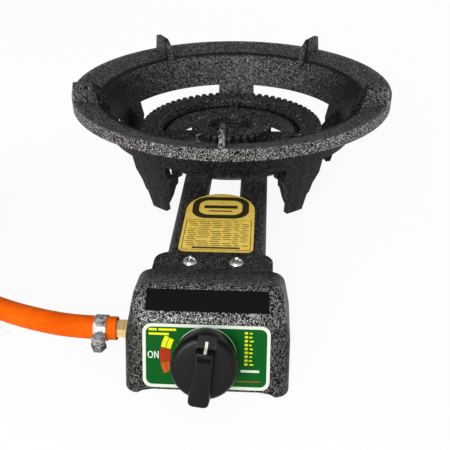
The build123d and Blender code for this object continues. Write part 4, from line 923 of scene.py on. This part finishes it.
pointer_profile = [
    (grip_end - 0.2, 28.1), (grip_end + 0.2, 28.0), (grip_end + 0.3, 20.1), (16.6, 18.7), (16.6, 18.3),
    (grip_end - 0.2, 19.7)]
pointer = extruded(profile("knob_pointer", pointer_profile, -pointer_width / 2, 0),
                   (pointer_width * mm, 0, 0))
knob.data.materials.append(finish_material("knob_black", (0.0045, 0.0045, 0.005), 0.32, specular=0.17))
pointer.data.materials.append(print_white)
knob = joined([knob, pointer])
knob.data.transform(panel_frame @ knob_tilt)
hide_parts("knob")
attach(knob, "knob_body")

# Hose clamp: a bent steel band whose two ears are drawn together by a slotted screw with a
# hexagon nut below. It is zinc plated and grips the hose on the inlet's barbs. It is made
# about the hose's axis and then set in its place.
clamp_width, clamp_bore, clamp_round, clamp_inset = 7.8, 7.55, 8.45, 13.9
ear_bottom, ear_top, ear_root, ear_tip, ear_corner_x, ear_corner_y = 0.8, 1.9, 7.6, 16.0, 2.4, 2.6
screw_reach, screw_head, screw_head_height, screw_shank = 12.1, 3.3, 2.6, 1.9
screw_slot_half, screw_slot_depth, screw_slot_turn = 0.55, 1.2, radians(35)
nut_radius, nut_height, screw_end = 5.0, 3.7, 4.4
clamp_droop = radians(5)
clamp_steel = finish_material("clamp_steel", (0.6, 0.6, 0.6), 0.5, 0.7)
add_mottle(clamp_steel, 420, ((0.16, 0.16, 0.16), (0.95, 0.93, 0.9)), (0.4, 0.6), 0.1 * mm)
clamp_fixing = finish_material("clamp_fixing", (0.5, 0.51, 0.5), 0.5, 0.7)
add_mottle(clamp_fixing, 380, ((0.34, 0.36, 0.36), (0.7, 0.71, 0.7)), (0.4, 0.55), 0.1 * mm)
nut_steel = finish_material("nut_steel", (0.2, 0.21, 0.21), 0.45, 0.9)
add_mottle(nut_steel, 380, ((0.12, 0.14, 0.14), (0.26, 0.28, 0.28)), (0.4, 0.5), 0.1 * mm)
band = spun(cross("clamp_strip", rectangle(0, clamp_width, clamp_bore, clamp_round), 0, 0),
            64, (0, 0, 0), (1, 0, 0))
ear_gap = extruded(plan("ear_gap", rectangle(-1, clamp_width + 1, -12, -5), -ear_bottom, 0),
                   (0, 0, 2 * ear_bottom * mm))
band = combined(band, ear_gap, "DIFFERENCE")
ear_outline = [
    (0, -ear_root), (clamp_width, -ear_root), (clamp_width, ear_corner_y - ear_tip),
    (clamp_width - ear_corner_x, -ear_tip), (ear_corner_x, -ear_tip), (0, ear_corner_y - ear_tip)]
for foot in (ear_bottom, -ear_top):
    ear = extruded(plan("clamp_ear", ear_outline, foot, 0), (0, 0, (ear_top - ear_bottom) * mm))
    band = combined(band, ear, "UNION")
band = rounded(band, 0.2 * mm, 2, radians(40))
band.data.materials.append(clamp_steel)


def clamp_bar(name, radius, foot, head, sides):
    """A round or six-sided bar on the clamp screw's axis, from one height to another."""
    bpy.ops.object.select_all(action="DESELECT")
    bpy.ops.mesh.primitive_cylinder_add(
        vertices=sides, radius=radius * mm, depth=(head - foot) * mm,
        location=(clamp_width / 2 * mm, -screw_reach * mm, (foot + head) / 2 * mm))
    bar = bpy.context.object
    bar.name = name
    only(bar)
    bpy.ops.object.transform_apply(location=True, rotation=True, scale=True)
    return bar


screw_axis = Matrix.Translation((clamp_width / 2 * mm, -screw_reach * mm, 0))
screw = combined(clamp_bar("clamp_screw_part", screw_head, ear_top, ear_top + screw_head_height, 40),
                 clamp_bar("clamp_shank", screw_shank, -ear_top - screw_end, ear_top + 0.5, 24), "UNION")
slot_foot = ear_top + screw_head_height - screw_slot_depth
screw_slot = extruded(plan("screw_slot", rectangle(-6, 6, -screw_slot_half, screw_slot_half), slot_foot, 0),
                      (0, 0, 3 * mm))
screw_slot.data.transform(screw_axis @ Matrix.Rotation(screw_slot_turn, 4, "Z"))
screw = rounded(combined(screw, screw_slot, "DIFFERENCE"), 0.35 * mm, 2, radians(40))
nut = combined(clamp_bar("clamp_nut_part", nut_radius, -ear_top - nut_height, -ear_top, 6),
               clamp_bar("nut_bore", screw_shank + 0.05, -ear_top - 6, ear_top, 24), "DIFFERENCE")
nut = rounded(nut, 0.3 * mm, 2, radians(30))
nut.data.transform(screw_axis @ Matrix.Rotation(radians(30), 4, "Z") @ screw_axis.inverted())
clamp_place = Matrix.Translation(hose_exit - Vector((clamp_inset * mm, 0, 0)))
clamp_place = clamp_place @ Matrix.Rotation(clamp_droop, 4, "X")
for part, node in ((band, "clamp_band"), (screw, "clamp_screw"), (nut, "clamp_nut")):
    part.data.transform(clamp_place)
    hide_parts(node)
    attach(part, "stove")
screw.data.materials.append(clamp_fixing)
nut.data.materials.append(nut_steel)

# The small things keep their CAD solids and get finishes of their own: bright plated
# screws, brass fittings, the clamp at the hose's far end, the valve inside the box, the
# spark electrode with its ceramic, and the black mouldings.
screw_steel = finish_material("screw_steel", (0.78, 0.77, 0.74), 0.2, 1.0)
add_mottle(screw_steel, 700, ((0.62, 0.61, 0.58), (0.86, 0.85, 0.83)), (0.14, 0.34), 0.05 * mm)
fitting_brass = finish_material("fitting_brass", (0.8, 0.58, 0.26), 0.45, 0.8)
add_mottle(fitting_brass, 420, ((0.8, 0.55, 0.24), (0.92, 0.7, 0.36)), (0.4, 0.5), 0.05 * mm)
valve_brass = finish_material("valve_brass", (0.6, 0.42, 0.16), 0.4, 1.0)
valve_alloy = finish_material("valve_alloy", (0.45, 0.45, 0.46), 0.5, 0.9)
plate_steel = finish_material("plate_steel", (0.4, 0.41, 0.42), 0.45, 1.0)
steel_plain = finish_material("steel_plain", (0.5, 0.5, 0.5), 0.35, 1.0)
ceramic_white = finish_material("ceramic_white", (0.72, 0.7, 0.66), 0.3)
lead_rubber = finish_material("lead_rubber", (0.03, 0.03, 0.032), 0.55)
igniter_black = finish_material("igniter_black", (0.015, 0.015, 0.016), 0.45)
tie_black = finish_material("tie_black", (0.02, 0.02, 0.021), 0.5)
finishes = {
    screw_steel: ["housing_screws", "base_screws", "valve_screws"],
    clamp_steel: ["end_clamp_band"],
    clamp_fixing: ["end_clamp_screw"],
    nut_steel: ["end_clamp_nut"],
    fitting_brass: ["inlet_nipple", "hose_tail", "coupling_nut"],
    valve_brass: ["valve_bonnet", "valve_plug", "jet_outer", "jet_inner"],
    valve_alloy: ["valve_body"],
    plate_steel: ["base_plate"],
    steel_plain: ["spark_wire", "electrode_clip", "valve_spindle", "shutter_outer", "shutter_inner"],
    ceramic_white: ["spark_ceramic"],
    lead_rubber: ["ignition_lead"],
    igniter_black: ["igniter_unit"],
    tie_black: ["coil_ties"],
}
for look, names in finishes.items():
    for name in names:
        dress(name, look)
